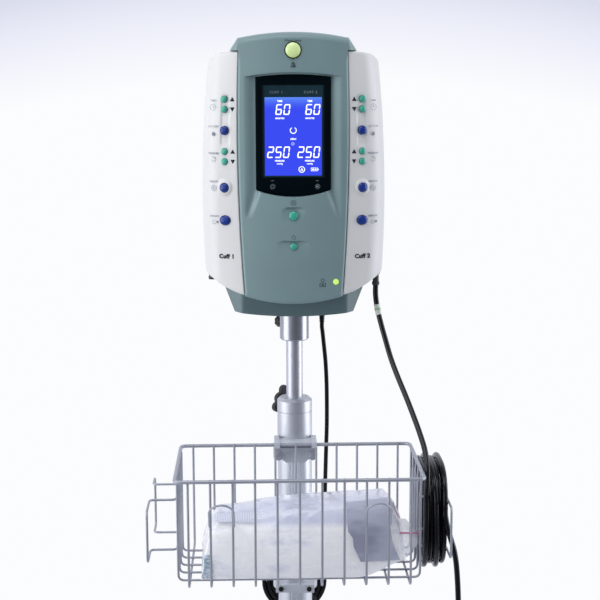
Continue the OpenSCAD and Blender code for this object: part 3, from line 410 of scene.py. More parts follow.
def finished(name, mesh, finish, body, replaces=(), sharp=35):
    """A mesh in metres gets its finish and shading, rides on its body, and hides what it
    replaces.
    """
    mesh.name = name
    mesh.materials.clear()
    mesh.materials.append(finish.material)
    for face in mesh.polygons:
        face.use_smooth = True
    if sharp:
        mesh.set_sharp_from_angle(angle=math.radians(sharp))
    obj = link(bpy.data.objects.new(name, mesh))
    if body:
        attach(obj, body)
    if replaces:
        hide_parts(*replaces)
    return obj


# %% Round stock along a path
def round_curve(name, path, diameter, sides=8, closed=False):
    """A curve of one spline in metres through a path in millimetres."""
    curve = bpy.data.curves.new(name, "CURVE")
    curve.dimensions = "3D"
    curve.bevel_depth = diameter / 2 * MM
    curve.bevel_resolution = max(0, sides // 2 - 2)
    curve.use_fill_caps = True
    curve.twist_mode = "MINIMUM"
    line = curve.splines.new("POLY")
    line.points.add(len(path) - 1)
    for point, p in zip(line.points, path):
        point.co = (*(Vector(p) * MM), 1)
    line.use_cyclic_u = closed
    line.use_smooth = True
    return bpy.data.objects.new(name, curve)


def evaluated(obj):
    """A new mesh of an object as its curve settings or modifiers leave it."""
    bpy.context.view_layer.update()
    shown = obj.evaluated_get(bpy.context.evaluated_depsgraph_get())
    return bpy.data.meshes.new_from_object(shown)


def meshed(obj):
    """The mesh of a curve or text object, which is then removed."""
    mesh, data = evaluated(link(obj)), obj.data
    bpy.data.objects.remove(obj)
    bpy.data.curves.remove(data)
    return mesh


def corner(a, b, c, radius, steps):
    """A short curve instead of the corner at b, on the way from a to c."""
    start, end = (a - b).normalized() * radius, (c - b).normalized() * radius
    return [b + start * (1 - t) ** 2 + end * t ** 2
        for t in (j / steps for j in range(steps + 1))]


def bent(points, radius, steps=5):
    """The points of a bent wire: each inner corner becomes a short curve."""
    points = [Vector(p) for p in points]
    out = [points[0]]
    for a, b, c in zip(points, points[1:], points[2:]):
        r = min(radius, (a - b).length * 0.49, (c - b).length * 0.49)
        out += corner(a, b, c, r, steps)
    return out + [points[-1]]


def add_mesh(bm, mesh):
    """Adds a mesh to a bmesh and removes it."""
    bm.from_mesh(mesh)
    bpy.data.meshes.remove(mesh)


def add_wire(bm, path, diameter, sides=8, closed=False):
    """Adds a wire along a path to a bmesh; all in millimetres."""
    mesh = meshed(round_curve("wire", path, diameter, sides, closed))
    mesh.transform(Matrix.Scale(1 / MM, 4))
    add_mesh(bm, mesh)


def join(bm, one, place=None):
    """Adds a second bmesh to the first, placed by a matrix or by a function."""
    if isinstance(place, Matrix):
        bmesh.ops.transform(one, matrix=place, verts=one.verts)
    elif place:
        for vert in one.verts:
            vert.co = place(vert.co)
    spare = bpy.data.meshes.new("spare")
    one.to_mesh(spare)
    one.free()
    add_mesh(bm, spare)


# %% Turned shapes, boxes, slabs and rounded edges
def turned(profile, steps=48, axis_place=None, into=None):
    """Spins a profile of (radius, height) round Z; ends on the axis close the shape."""
    bm = bmesh.new()
    verts = [bm.verts.new((r, 0, z)) for r, z in profile]
    edges = [bm.edges.new(pair) for pair in zip(verts, verts[1:])]
    bmesh.ops.spin(bm, geom=verts + edges, axis=(0, 0, 1), cent=(0, 0, 0),
        angle=math.tau, steps=steps, use_merge=True, use_duplicate=False)
    bmesh.ops.remove_doubles(bm, verts=bm.verts, dist=1e-4)
    bmesh.ops.recalc_face_normals(bm, faces=bm.faces)
    if axis_place is not None:
        bmesh.ops.transform(bm, matrix=axis_place, verts=bm.verts)
    if into is None:
        return bm
    join(into, bm)
    return into


def rounded(bm, edges, width, segments=2):
    """Rounds edges with a narrow bevel."""
    bmesh.ops.bevel(bm, geom=edges, offset=width, segments=segments, affect="EDGES",
        profile=0.5, material=-1, clamp_overlap=True)


def sharp_edges(bm, angle):
    """The edges whose two faces meet at more than an angle in degrees."""
    return [e for e in bm.edges if len(e.link_faces) == 2
        and e.calc_face_angle(0) > math.radians(angle)]


def new_verts(made):
    """The points that an extrusion has added."""
    return [v for v in made["geom"] if isinstance(v, bmesh.types.BMVert)]


def block(bm, low, high, bevel, segments=2):
    """A box between two corners with rounded edges, added to a bmesh."""
    low, high = Vector(low), Vector(high)
    made = bmesh.ops.create_cube(bm, size=1, matrix=Matrix.Translation((low + high) / 2)
        @ Matrix.Diagonal((*(high - low), 1)))["verts"]
    rounded(bm, list({e for v in made for e in v.link_edges}), bevel, segments)


def slab(front, back):
    """A closed thin body: a grid, extruded, then laid on two equal grids of points."""
    bm, m, n = bmesh.new(), len(front) - 1, len(front[0]) - 1
    bmesh.ops.create_grid(bm, x_segments=m, y_segments=n, size=1)
    for vert in new_verts(bmesh.ops.extrude_face_region(bm, geom=bm.faces[:])):
        vert.co.z = 1
    for vert in bm.verts:
        i, j = round((vert.co.x + 1) / 2 * m), round((vert.co.y + 1) / 2 * n)
        vert.co = (back if vert.co.z > 0.5 else front)[i][j]
    bmesh.ops.recalc_face_normals(bm, faces=bm.faces)
    return bm


def weighted(obj):
    """Shades large faces flat and leaves the turn to the rounded edges."""
    modifier = obj.modifiers.new("weighted", "WEIGHTED_NORMAL")
    modifier.keep_sharp, modifier.weight = True, 90
    mesh, old = evaluated(obj), obj.data
    obj.modifiers.clear()
    obj.data = mesh
    bpy.data.meshes.remove(old)
    mesh.name = obj.name


def softened(node, name, finish, body, width, angle=40, segments=2, turn=None,
        shape=None):
    """A copy of a CAD node, its doubles merged and its sharp edges rounded."""
    bm = bmesh.new()
    bm.from_mesh(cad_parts[node].data)
    bmesh.ops.scale(bm, vec=(1 / MM,) * 3, verts=bm.verts)
    bmesh.ops.remove_doubles(bm, verts=bm.verts, dist=0.005)
    bmesh.ops.dissolve_limit(bm, angle_limit=math.radians(0.8), verts=bm.verts,
        edges=bm.edges, use_dissolve_boundaries=False)
    if shape:
        shape(bm)
    rounded(bm, sharp_edges(bm, angle), width, segments)
    bmesh.ops.triangulate(bm, faces=[f for f in bm.faces if len(f.verts) > 4])
    weighted(piece(name, bm, finish, body, (node,), turn))

# %% [markdown]
# ## Air hose and mains cord
#
# The hose is a soft black tube with a satin skin and marker bands near the console.
# It is one tube from the port to its connector, so nothing shows a joint in it. The
# console can rise on the pole, and both cords run between the stand and the console.

# %% The hose and the cord
hose = finished("air_hose", meshed(round_curve("hose", hose_path, HOSE_D, 12)),
    rubber_black, None, sharp=0)
mains = finished("mains_lead", meshed(round_curve("mains", mains_path, MAINS_D, 12)),
    cord_black, None, sharp=0)
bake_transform(hose)
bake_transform(mains)
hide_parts("hose_run", "hose_coil")
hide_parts("mains_cord", "mains_coil")


# %% Marker bands on the hose
def part_of(path, start, end):
    """The stretch of a path between two distances from its first point."""
    out, gone = [], 0
    for a, b in zip(path, path[1:]):
        step = (b - a).length
        for t in (start - gone, end - gone):
            if 0 <= t < step:
                out.append(a + (b - a) * t / step)
        if start <= gone + step < end:
            out.append(b)
        gone += step
    return sorted(out, key=lambda p: -p.z)


def band(name, start, end, diameter, finish):
    """A band round the hose, between two distances from its port."""
    mesh = meshed(round_curve(name, part_of(hose_path, start, end), diameter, 16))
    made = finished(name, mesh, finish, None)
    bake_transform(made)
    return made


marker_white = moulded("marker_white", (0.62, 0.66, 0.60), 0.45, 0.2, 0.04)
marker_green = moulded("marker_green", (0.25, 0.42, 0.22), 0.45, 0.2, 0.04)
bands = [band("hose_marker_white", 26, 40, HOSE_D + 0.9, marker_white),
    band("hose_marker_green", 31, 33.5, HOSE_D + 1.2, marker_green)]

# %% [markdown]
# The connector at the hose's end is a quick coupling: a barbed collar pushed into the
# hose, a knurled sleeve and a nose. It is turned from one profile, and its grip ribs
# are small blocks set round the sleeve.

# %% Hose connector
GRIP_RIBS, GRIP_R = 24, 6.7
coupling = turned([(0, -30), (4.2, -30), (5.4, -29), (5.4, -24.6), (7, -24), (7, -22.6),
    (GRIP_R, -22), (GRIP_R, -12), (7, -11.4), (7, -10), (5.2, -9.2), (5, -3), (4.4, -0.6),
    (3.6, -0.2), (0, -0.2)])
for i in range(GRIP_RIBS):
    a = math.tau * i / GRIP_RIBS
    rib = bmesh.ops.create_cube(coupling, size=1,
        matrix=Matrix.Rotation(a, 4, "Z") @ moved(GRIP_R, 0, -17)
        @ Matrix.Diagonal((0.7, 0.8, 8.6, 1)))["verts"]
    rounded(coupling, list({e for v in rib for e in v.link_edges}), 0.18, 1)
coupling_grey = moulded("coupling_grey", (0.55, 0.58, 0.56), 0.3, 0.1)
connector = piece("hose_coupling", coupling, coupling_grey, "stand", ("hose_connector",),
    Matrix.Translation(hose_path[-1]))

# %% [markdown]
# The mains plug is a plain three-pin plug of moulded rubber with a ribbed grip and a
# tapered neck; the pins are plated brass. The same neck, turned round, is the strain
# relief under the console. A woven tie holds the mains cord's turns together.


# %% Ribbed necks, the plug and the tie
def neck(thin, wide, long, ribs):
    """Profile of a tapered strain relief from z 0, the wide end, to z long."""
    out = [(0, 0), (wide, 0)]
    for i in range(ribs):
        a, b = i / ribs, (i + 0.55) / ribs
        r0, r1 = wide + (thin - wide) * a, wide + (thin - wide) * b
        out += [(r0, long * a + 0.01), (r1, long * b), (r1 - 0.55, long * b + 0.25),
            (r1 - 0.6, long * (i + 0.95) / ribs)]
    return out + [(thin, long), (0, long)]


plug_place = Matrix.Translation(mains_path[-1])
plug = turned(neck(3.3, 7.6, 15, 5), 40, moved(0, 0, -14))
block(plug, (-12, -9, -36), (12, 9, -13.6), 3.2, 3)
for i in range(4):
    for s in (-1, 1):
        y, z = s * 8.9, -32.5 + 4.6 * i
        block(plug, (-7, y - 0.5, z), (7, y + 0.5, z + 2.2), 0.4, 1)
plug_body = piece("plug_body", plug, plug_black, "stand", ("mains_plug",),
    plug_place)
pins = bmesh.new()
for x in (-6.35, 6.35):
    block(pins, (x - 0.75, -3.2, -52), (x + 0.75, 3.2, -35.6), 0.35, 1)
turned([(0, -54), (1.6, -54), (2.4, -52.6), (2.4, -35.6), (0, -35.6)], 24,
    moved(0, 6, 0), pins)
brass = drawn_metal("plated_brass", (0.72, 0.66, 0.46), 0.24)
plug_pins = piece("plug_pins", pins, brass, "stand", place=plug_place)
gland = turned(neck(3.2, 4.7, 22, 6), 40, spun(180, "X"))
turned([(0, 0), (5, 0), (5, 5.4), (7.5, 5.4), (7.5, 9), (0, 9)], 6, None, gland)
strain_relief = piece("strain_relief", gland, rubber_black, "console", ("cord_gland",),
    CONSOLE @ moved(37, 12, 0))

TIE_AT, TIE_STEPS = -52, 48
TIE_R, TIE_HALF, TIE_DEEP, TIE_THICK = 34.4, 13.2, 13.4, 1.1
tie = bmesh.new()
angles = [math.tau * i / TIE_STEPS for i in range(TIE_STEPS)]
near, far = ([tie.verts.new((x, TIE_HALF * rounder(math.cos(t)),
    TIE_DEEP * rounder(math.sin(t)))) for t in angles] for x in (-7, 7))
for i in range(TIE_STEPS):
    j = (i + 1) % TIE_STEPS
    tie.faces.new((near[i], near[j], far[j], far[i]))
bmesh.ops.recalc_face_normals(tie, faces=tie.faces)
bmesh.ops.solidify(tie, geom=tie.faces[:], thickness=-TIE_THICK)
strap_weave = moulded("strap_weave", (0.02, 0.021, 0.024), 0.8, 0.9, 0.2)
coil_tie = piece("mains_tie", tie, strap_weave, "stand",
    place=RIM @ moved(MAINS_X + TIE_R * math.cos(math.radians(TIE_AT)), MAINS_Y + 9.6,
        MAINS_Z + TIE_R * math.sin(math.radians(TIE_AT)))
    @ spun(-TIE_AT, "Y") @ spun(180, "Z"))

# %% Start, length and points of both cords, in metres
hose_path[0] * MM
round(run_length(hose_path) * MM, 3)
[p * MM for p in hose_path]
mains_path[0] * MM
round(run_length(mains_path) * MM, 3)
[p * MM for p in mains_path]

# %% [markdown]
# ## The front cover
#
# The cover is one moulding, bowed across its width, with a long scoop on each side of
# the screen, a brow over it, and a small thumb hollow above each of the two centre
# buttons. A grid is the best start: its rows and columns are laid along the edges of
# the scoops, each point is pushed back by a depth that depends on where it is, and the
# rim is extruded back into the sides. The screen's opening is cut out afterwards.

# %% Outlines shared by the console's shells
FRONT, FRONT_R = 102, 260
SEAM_HALF, SEAM_MID, SEAM_R = 69.2, 236, 2690
COVER_BACK, SPLIT_Y = -62, -22.2
CON_W, CORNER_R, PANEL_SET = 232, 34, 2
SCREEN_W, SCREEN_H, SCREEN_LOW = 93, 139, 165.5
BEZEL_Y, FRAME_BACK, GLASS_Y = -95, -86.8, -93.8
SCREEN_TOP_R, SCREEN_LOW_R, WINDOW = 353, 135, (-37.5, 181, 37.5, 295)
BUTTON_X, LED_X, LED_Z = 86, 53, 50
FACE_TURN, LED_TURN = math.asin(BUTTON_X / FRONT_R), math.asin(LED_X / FRONT_R)
ROW_Z = [277.5, 265, 239, 213, 200.5, 168, 127]
ROW_D = [8.4, 8.4, 11, 8.4, 8.4, 11.8, 11]
RINGED, OVAL = 5, 6
MODE_Z, POWER_Z, LAMP_Z = 134, 95.5, 337
SMALL_BUTTONS = (("mode_button", MODE_Z, 11.6), ("power_button", POWER_Z, 8.6))


def ramp(x, low, high):
    """0 below low, 1 above high and a straight line in the middle."""
    return max(0.0, min(1.0, (x - low) / (high - low)))


def soft(x, low, high):
    """The same ramp with eased ends."""
    t = ramp(x, low, high)
    return t * t * (3 - 2 * t)


def mixed(a, b, t):
    """The value a share t of the way from a to b."""
    return a + (b - a) * t


def stepped(t, stops):
    """The value at t on a line through (t, value) stops."""
    for (a, p), (b, q) in zip(stops, stops[1:]):
        if t <= b + 1e-9:
            return mixed(p, q, (t - a) / (b - a))
    return stops[-1][1]


def arc(x, middle, radius):
    """Height at x of a circle's upper half; under_arc gives the lower one."""
    return middle + math.sqrt(radius ** 2 - x ** 2)


def under_arc(x, middle, radius):
    return middle - math.sqrt(radius ** 2 - x ** 2)


def bow_y(x):
    """The bowed front, seen from above."""
    return under_arc(x, FRONT_R - FRONT, FRONT_R)


def seam_x(z):
    """The cover's side edge, seen from the front."""
    return arc(z - SEAM_MID, SEAM_HALF - SEAM_R, SEAM_R)


def screen_top(x):
    """The upper edge of the opening for the screen; screen_bottom is the lower one."""
    return arc(x, SCREEN_LOW + SCREEN_H + 3 - SCREEN_TOP_R, SCREEN_TOP_R)


def screen_bottom(x):
    return under_arc(x, SCREEN_LOW - 8 + SCREEN_LOW_R, SCREEN_LOW_R)


# %% Depth of the scoops and the thumb hollows
SCOOP_DEEP, SCOOP_OUT, TAIL_TIP = 6.0, 60, 131
BROW, HOLLOW_R, HOLLOW_FADE = 2.6, 95, 9.5
HOLLOWS = ((MODE_Z, 9.6, 14.5, 3.2), (POWER_Z, 7.2, 20.5, 2.8))


def valley_x(z):
    """Middle line of a scoop: beside the screen, then outwards below it."""
    return mixed(SCREEN_W / 2, SCOOP_OUT - 2.5, 1 - ramp(z, TAIL_TIP, SCREEN_LOW))


def set_back(x, z):
    """How far the scoops or the thumb hollows push the front back at (x, z)."""
    a, deep = abs(x), 0.0
    if z < screen_top(x) + BROW and z > TAIL_TIP:
        inner, strength = valley_x(z), SCOOP_DEEP * ramp(z, TAIL_TIP, SCREEN_LOW) ** 0.8
        if a >= inner:
            deep = strength * (1 - soft(a, inner, SCOOP_OUT + 1.5))
        elif z > screen_bottom(min(a, SCREEN_W / 2)) + 0.6:
            deep = strength
        else:
            deep = strength * soft(a, inner - 7, inner)
    for middle, up, half, amount in HOLLOWS:
        line = middle + up - x * x / (2 * HOLLOW_R)
        if a < half and z < line:
            fade = (1 - (x / half) ** 2) ** 1.2
            deep = max(deep,
                amount * fade * math.exp(-((line - z) / HOLLOW_FADE) ** 1.5))
    return deep


# %% The cover's grid
COVER_FOOT, COVER_HEAD = (242.5, 220), (31, 326)
COVER_COLUMNS, COVER_ROWS = 130, 230
RIM_ROUND, TOP_ROUND, PANEL_ROUND = 3.4, 6.5, 3


def rim_round(d, radius):
    """How far a rounded rim falls back at distance d from the edge."""
    d = min(max(d, 0), radius)
    return radius - math.sqrt(radius ** 2 - (radius - d) ** 2)


def cover_place(u, v):
    """Point of the front for u from -1 to 1 and v from 0 to 1.

    The columns depend on the height and the rows on x, so both are found by turns."""
    side, a, z = math.copysign(1, u), abs(u), 180
    for _ in range(4):
        edge = seam_x(z)
        out = min(SCOOP_OUT, edge - 9)
        inner = min(valley_x(z), out - 2.5)
        columns = [(0, 0), (0.36, inner - 7), (0.44, inner),
            (0.60, out - 1.5 if inner < out - 4 else out + 0.5),
            (0.68, out + 2.5), (0.78, edge - 5), (1, edge)]
        x = side * stepped(a, columns)
        low, high = under_arc(x, *COVER_FOOT), arc(x, *COVER_HEAD)
        brow = screen_top(x) + BROW
        rows = [(0, low), (0.03, low + 4), (0.43, TAIL_TIP), (0.53, SCREEN_LOW),
            (0.83, brow - 1.2), (0.86, brow + 0.4), (0.94, high - 7), (1, high)]
        z = stepped(v, rows)
    sides = edge - abs(x) + 14 * soft(z, 327, 335)
    fall = max(rim_round(sides, RIM_ROUND), rim_round(z - low, RIM_ROUND),
        rim_round(high - z, TOP_ROUND))
    return Vector((x, bow_y(x) + set_back(x, z) + fall, z))


def closed_behind(bm, back):
    """Draws a grid's rim straight back to one depth and closes it there."""
    for vert in new_verts(bmesh.ops.extrude_edge_only(bm, edges=[e for e in bm.edges
            if e.is_boundary])):
        vert.co.y = back
    bmesh.ops.remove_doubles(bm, verts=bm.verts, dist=1e-4)
    bmesh.ops.holes_fill(bm, edges=[e for e in bm.edges if e.is_boundary])
    bmesh.ops.recalc_face_normals(bm, faces=bm.faces)


cover = bmesh.new()
bmesh.ops.create_grid(cover, x_segments=COVER_COLUMNS, y_segments=COVER_ROWS, size=1)
for vert in cover.verts:
    vert.co = cover_place(vert.co.x, (vert.co.y + 1) / 2)
closed_behind(cover, COVER_BACK)
print("cover:", len(cover.faces), "faces")


# %% Cutting openings with a Boolean
def prism(outline, y0, y1):
    """A closed prism from an outline of (x, z) points, between two depths."""
    bm = bmesh.new()
    face = bm.faces.new([bm.verts.new((x, y0, z)) for x, z in outline])
    for vert in new_verts(bmesh.ops.extrude_face_region(bm, geom=[face])):
        vert.co.y = y1
    bmesh.ops.recalc_face_normals(bm, faces=bm.faces)
    return bm


def drill(radius, low, high, place, steps=48):
    """A cylinder along a frame's Z axis, for cutting a hole."""
    return turned([(0, low), (radius, low), (radius, high), (0, high)], steps, place)


def spare_object(bm):
    """An object for a Boolean to work with, removed after the cut."""
    mesh = bpy.data.meshes.new("spare")
    bm.to_mesh(mesh)
    bm.free()
    return link(bpy.data.objects.new("spare", mesh))


def cut(bm, *cutters, overlaps=False):
    """The bmesh with the cutters' shapes taken out of it."""
    body = spare_object(bm)
    tools = [spare_object(c) for c in cutters]
    for tool in tools:
        taken = body.modifiers.new("cut", "BOOLEAN")
        taken.operation, taken.solver, taken.object = "DIFFERENCE", "EXACT", tool
        taken.use_self = overlaps
    out = bmesh.new()
    add_mesh(out, evaluated(body))
    for obj in (body, *tools):
        bpy.data.objects.remove(obj)
    return out


def screen_outline(grow, steps=24):
    """The screen frame's outline: straight sides between two arcs."""
    half = SCREEN_W / 2 + grow
    xs = [mixed(-half, half, i / steps) for i in range(steps + 1)]
    top = [(x, screen_top(x) + grow) for x in xs]
    low = [(x, screen_bottom(x) - grow) for x in reversed(xs)]
    return top + low


def on_face(turn, z, set_in=0, out=0):
    """Frame on the bowed front, its Z pointing outwards, at a turn round the bow."""
    return (moved(0, -FRONT + set_in + FRONT_R, z) @ Matrix.Rotation(turn, 4, "Z")
        @ moved(0, -FRONT_R - out, 0) @ spun(90, "X"))


ROOM_LEVELS, ROOM_FRONT, WALL = (45, 90, 140, 200, 260, 333), -86.6, 3
holes = [drill(10.6, -12, 6, on_face(0, LAMP_Z), 64),
    drill(3.9, -9, 6, on_face(LED_TURN, LED_Z), 40),
    *(drill(d / 2 + 0.3, -12, 6, on_face(0, z)) for _, z, d in SMALL_BUTTONS)]
room = prism([(WALL - seam_x(z), z) for z in reversed(ROOM_LEVELS)]
    + [(seam_x(z) - WALL, z) for z in ROOM_LEVELS], ROOM_FRONT, -55)
cover = cut(cover, prism(screen_outline(0.35), -110, -80), *holes, room)
front_cover = piece("front_cover_shell", cover, shell_green, "console",
    ("front_cover",), CONSOLE, 32)
print("front cover:", len(front_cover.data.polygons), "faces")

# %% [markdown]
# ## The shoulders over the panels
#
# Above the side panels the cover's surface runs on, without a seam, round the corners
# of the head behind it. A band of quads joins the cover's edge to the head's outline:
# it leaves the cover facing forward and reaches the head facing sideways.

# %% Shoulder band
HEAD_MID, HEAD_R, HEAD_Z, HEAD_Y = 34, 326, 336.6, -61.6
HEAD_EDGE_X = [(0, 79), (0.06, 79), (0.86, 70.4), (1, 69.2)]
HEAD_EDGE_Z = [(0, HEAD_Z), (0.06, 337.2), (0.86, 350.8), (1, 352.8)]
HEAD_NARROWER = 69.2 / 69.8

flank = [p for p in (cover_place(1, mixed(0.9, 1, i / 40)) for i in range(41))
    if p.z >= HEAD_Z]
joined = [(p, Vector((stepped(i / (len(flank) - 1), HEAD_EDGE_X), HEAD_Y,
    stepped(i / (len(flank) - 1), HEAD_EDGE_Z)))) for i, p in enumerate(flank)]
for i in range(1, 60):
    p = cover_place(1 - i / 30, 1)
    x = p.x * HEAD_NARROWER
    joined.append((p, Vector((x, HEAD_Y, arc(x, HEAD_MID, HEAD_R)))))
joined += [(Vector((-p.x, p.y, p.z)), Vector((-q.x, q.y, q.z)))
    for p, q in reversed(joined[:len(flank)])]
outer, inside = [], []
for i, (p, q) in enumerate(joined):
    lead = Vector((q.x, p.y + 0.28 * abs(q.x - p.x), mixed(p.z, q.z, 0.8)))
    outer.append([p * (1 - t) ** 2 + lead * (2 * t * (1 - t)) + q * t ** 2
        for t in (j / 10 for j in range(11))])
    at_side = min(i, len(joined) - 1 - i) < len(flank)
    inside.append([Vector((math.copysign(60, o.x) if at_side else o.x * 0.965,
        o.y + 1.6, o.z - 2.0 * soft(o.z, HEAD_Z, 342))) for o in outer[-1]])
piece("cover_shoulder", slab(outer, inside), shell_green, "console",
    place=CONSOLE, sharp=50)

# %% [markdown]
# ## The side panels
#
# Each side panel runs round a corner, so its grid follows the plan: the bow of the
# front, the corner's arc and the flat side. The same surface, moved in by the wall's
# thickness, is the room that is cut out of it, and the button holes go through both.
# One panel is made and the other is its mirror image.

# %% The panel's surface
BOW_R, BOW_MID, PANEL_GAP = 1600, 155, 1.0
CORNER_X = CON_W / 2 - CORNER_R
PANEL_CY = FRONT_R - FRONT + PANEL_SET
CORNER_Y = PANEL_CY - math.sqrt((FRONT_R - CORNER_R) ** 2 - CORNER_X ** 2)
CORNER_TURN = math.atan2(CORNER_X, PANEL_CY - CORNER_Y)
TOP_LINE = [(-1, 340), (66, 336.2), (80, 335.4), (90, 334.3), (100, 332.2), (106, 327.3),
    (111, 314), (130, 276)]
LOW_LINE = [(-1, 30), (66, 33), (76, 36.3), (87, 41.5), (97, 47), (106, 52.6), (112, 57),
    (130, 68)]


def plan_at(s, start, inset):
    """Point and outward direction so far along the plan, from the seam's angle."""
    r, rc = FRONT_R - inset, CORNER_R - inset
    front = r * (CORNER_TURN - start)
    corner = rc * (math.pi / 2 - CORNER_TURN)
    flat = SPLIT_Y - CORNER_Y
    at = s * (front + corner + flat)
    if at < front:
        a = start + at / r
        return r * math.sin(a), PANEL_CY - r * math.cos(a), a
    if at < front + corner:
        a = CORNER_TURN + (at - front) / rc
        return CORNER_X + rc * math.sin(a), CORNER_Y - rc * math.cos(a), a
    return CON_W / 2 - inset, CORNER_Y + at - front - corner, math.pi / 2


def bump_out(turn_arc, z):
    """Finger groove round the upper buttons and the ring round the sixth."""
    t = abs(turn_arc)
    groove = (1 - soft(t, 4.6, 7.4)) * soft(z, 218.5, 222.5) * (1 - soft(z, 279.5, 284))
    ring = 1 - soft(math.hypot(t, z - ROW_Z[RINGED]), 7.4, 10.8)
    return 1.9 * ring - 1.15 * groove


def side_bow(x, z):
    """How far the flat side leans in, more and more from the front to the side."""
    return under_arc(z - BOW_MID, BOW_R, BOW_R) * soft(x, 62, 112)


def panel_place(u, v, inset):
    """Point of the panel's surface, or of its room's, for u and v from 0 to 1."""
    z = mixed(40, 320, v)
    for _ in range(6):
        start = math.asin((seam_x(z) + PANEL_GAP + inset) / FRONT_R)
        x, y, a = plan_at(u, start, inset)
        low = stepped(x - side_bow(x, z), LOW_LINE) + inset
        high = stepped(x - side_bow(x, z), TOP_LINE) - inset
        z = mixed(low, high, v)
    if not inset:
        seam = FRONT_R * (a - start) if a < math.pi / 2 else 99
        rim = min(seam * 1.6 + 0.8, (z - low) * 1.1, (high - z) * 1.1)
        arc_from = FRONT_R * (a - FACE_TURN) if a <= CORNER_TURN else 50
        out = bump_out(arc_from, z) - rim_round(rim, PANEL_ROUND)
        x, y = x + out * math.sin(a), y - out * math.cos(a)
    return Vector((x - side_bow(x, z), y, z))


def panel_solid(inset, columns, rows, back):
    """The panel as a solid, or with an inset the room that is cut out of it."""
    bm = bmesh.new()
    bmesh.ops.create_grid(bm, x_segments=columns, y_segments=rows, size=1)
    for vert in bm.verts:
        vert.co = panel_place((vert.co.x + 1) / 2, (vert.co.y + 1) / 2, inset)
    closed_behind(bm, back)
    return bm


# %% Both panels
def button_place(k, turn):
    """Frame of a button on a panel, wider and higher for the oval one."""
    wide = Matrix.Diagonal((1.3, 1.1, 1, 1)) if k == OVAL else Matrix.Identity(4)
    return on_face(turn, ROW_Z[k], PANEL_SET) @ wide


port_way = drill(4.3, 0, 70, moved(106, -40, 0), 32)
panel = cut(panel_solid(0, 92, 190, SPLIT_Y), panel_solid(WALL, 40, 60, SPLIT_Y + 4),
    port_way, *[drill(ROW_D[k] / 2 + 0.35, -14, 8, button_place(k, FACE_TURN), 40)
        for k in range(len(ROW_Z))])
mirror_panel = panel.copy()
bmesh.ops.scale(mirror_panel, vec=(-1, 1, 1), verts=mirror_panel.verts)
bmesh.ops.reverse_faces(mirror_panel, faces=mirror_panel.faces)
print("panel:", len(panel.faces), "faces")
for side, half in (("right", panel), ("left", mirror_panel)):
    piece(f"{side}_panel_shell", half, panel_white, "console", (f"{side}_panel",),
        CONSOLE, 32)

# %% [markdown]
# ## Push buttons
#
# Every button is a glossy dome on a short stem. They are spun from one profile and
# stood on the bowed front. The lowest one of each column is a wider oval, and the
# buttons move by themselves, so each is a piece on its own body.

# %% Buttons
gloss_green = moulded("button_green", (0.050, 0.38, 0.28), 0.16, 0.03, 0.06,
    Coat_Weight=0.7, Coat_Roughness=0.05, Specular_IOR_Level=0.3)
gloss_blue = moulded("button_blue", (0.008, 0.034, 0.240), 0.16, 0.03, 0.06,
    Coat_Weight=0.45, Coat_Roughness=0.05, Specular_IOR_Level=0.2)


def dome(radius, stand, rise):
    """Profile of a button: flange, stem and a domed top."""
    top = [(radius * math.cos(t), stand + rise * math.sin(t))
        for t in (math.pi / 2 * i / 9 for i in range(10))]
    return [(0, -6.4), (radius + 1.1, -6.4), (radius + 1.1, -4.4), (radius - 0.15, -4.4),
        (radius - 0.15, stand - 0.5), *top[:-1], (0, stand + rise)]


BLUE_ROWS = (2, RINGED, OVAL)
ROW_NAMES = ("time_up", "time_down", "set", "pressure_up", "pressure_down", "inflate",
    "deflate")
for side, turn in (("left", -FACE_TURN), ("right", FACE_TURN)):
    for k, name in enumerate(ROW_NAMES):
        node = f"{side}_{name}"
        gloss, slot = ((gloss_blue, "blue_button") if k in BLUE_ROWS
            else (gloss_green, "green_button"))
        stand = 1.6 if k == RINGED else 0.7
        piece(node + "_cap", turned(dome(ROW_D[k] / 2, stand, ROW_D[k] * 0.25)), gloss,
            node, (node,), CONSOLE @ button_place(k, turn), 30)
for node, z, d in SMALL_BUTTONS:
    piece(node + "_cap", turned(dome(d / 2, 0.5, d * 0.2)), gloss_green, node, (node,),
        CONSOLE @ on_face(0, z), 30)

# %% [markdown]
# ## Screen
#
# The screen sits in a black frame with two curved edges. Digits are drawn as
# seven-segment figures that lean to the right, and every word or sign is a thin mesh,
# wrapped round the front where the front is bowed.

# %% The black frame and the display's layers
def rectangle(x0, z0, x1, z1):
    """The four corners of an upright rectangle."""
    return [(x0, z0), (x1, z0), (x1, z1), (x0, z1)]


def edges_inside(bm, x0, z0, x1, z1):
    """The edges of a frame's front face that lie within a rectangle."""
    return [e for e in bm.edges if all(abs(v.co.y - BEZEL_Y) < 0.01
        and x0 < v.co.x < x1 and z0 < v.co.z < z1 for v in e.verts)]


bezel = prism(screen_outline(0), BEZEL_Y, FRAME_BACK)
rounded(bezel, edges_inside(bezel, -99, 0, 99, 999), 1.2, 3)
bezel = cut(bezel, prism(rectangle(*WINDOW), -99, -80))
rounded(bezel, edges_inside(bezel, -37.6, 180.9, 37.6, 295.1), 0.8, 1)
piece("screen_bezel", bezel, frame_black, "console", ("screen_frame",), CONSOLE,
    30)
strip_dark = moulded("strip_dark", (0.012, 0.034, 0.046), 0.3, 0.05, 0.1,
    Specular_IOR_Level=0.1)
backing = bmesh.new()
block(backing, (-37.3, -93.6, 181.2), (37.3, -91.6, 294.8), 0.3, 1)
block(backing, (-40, -92, 178.4), (40, -86.6, 297.6), 0.4, 1)
piece("screen_backing", backing, strip_dark, "console", ("display",), CONSOLE)
lit = Finish("lit_screen", (0.006, 0.008, 0.04), 0.3, Emission_Strength=1.0,
    Specular_IOR_Level=0.1)
glow = lit.axis("Z").between((CONSOLE_Z + 262) * MM, (CONSOLE_Z + 280) * MM) ** 2.2
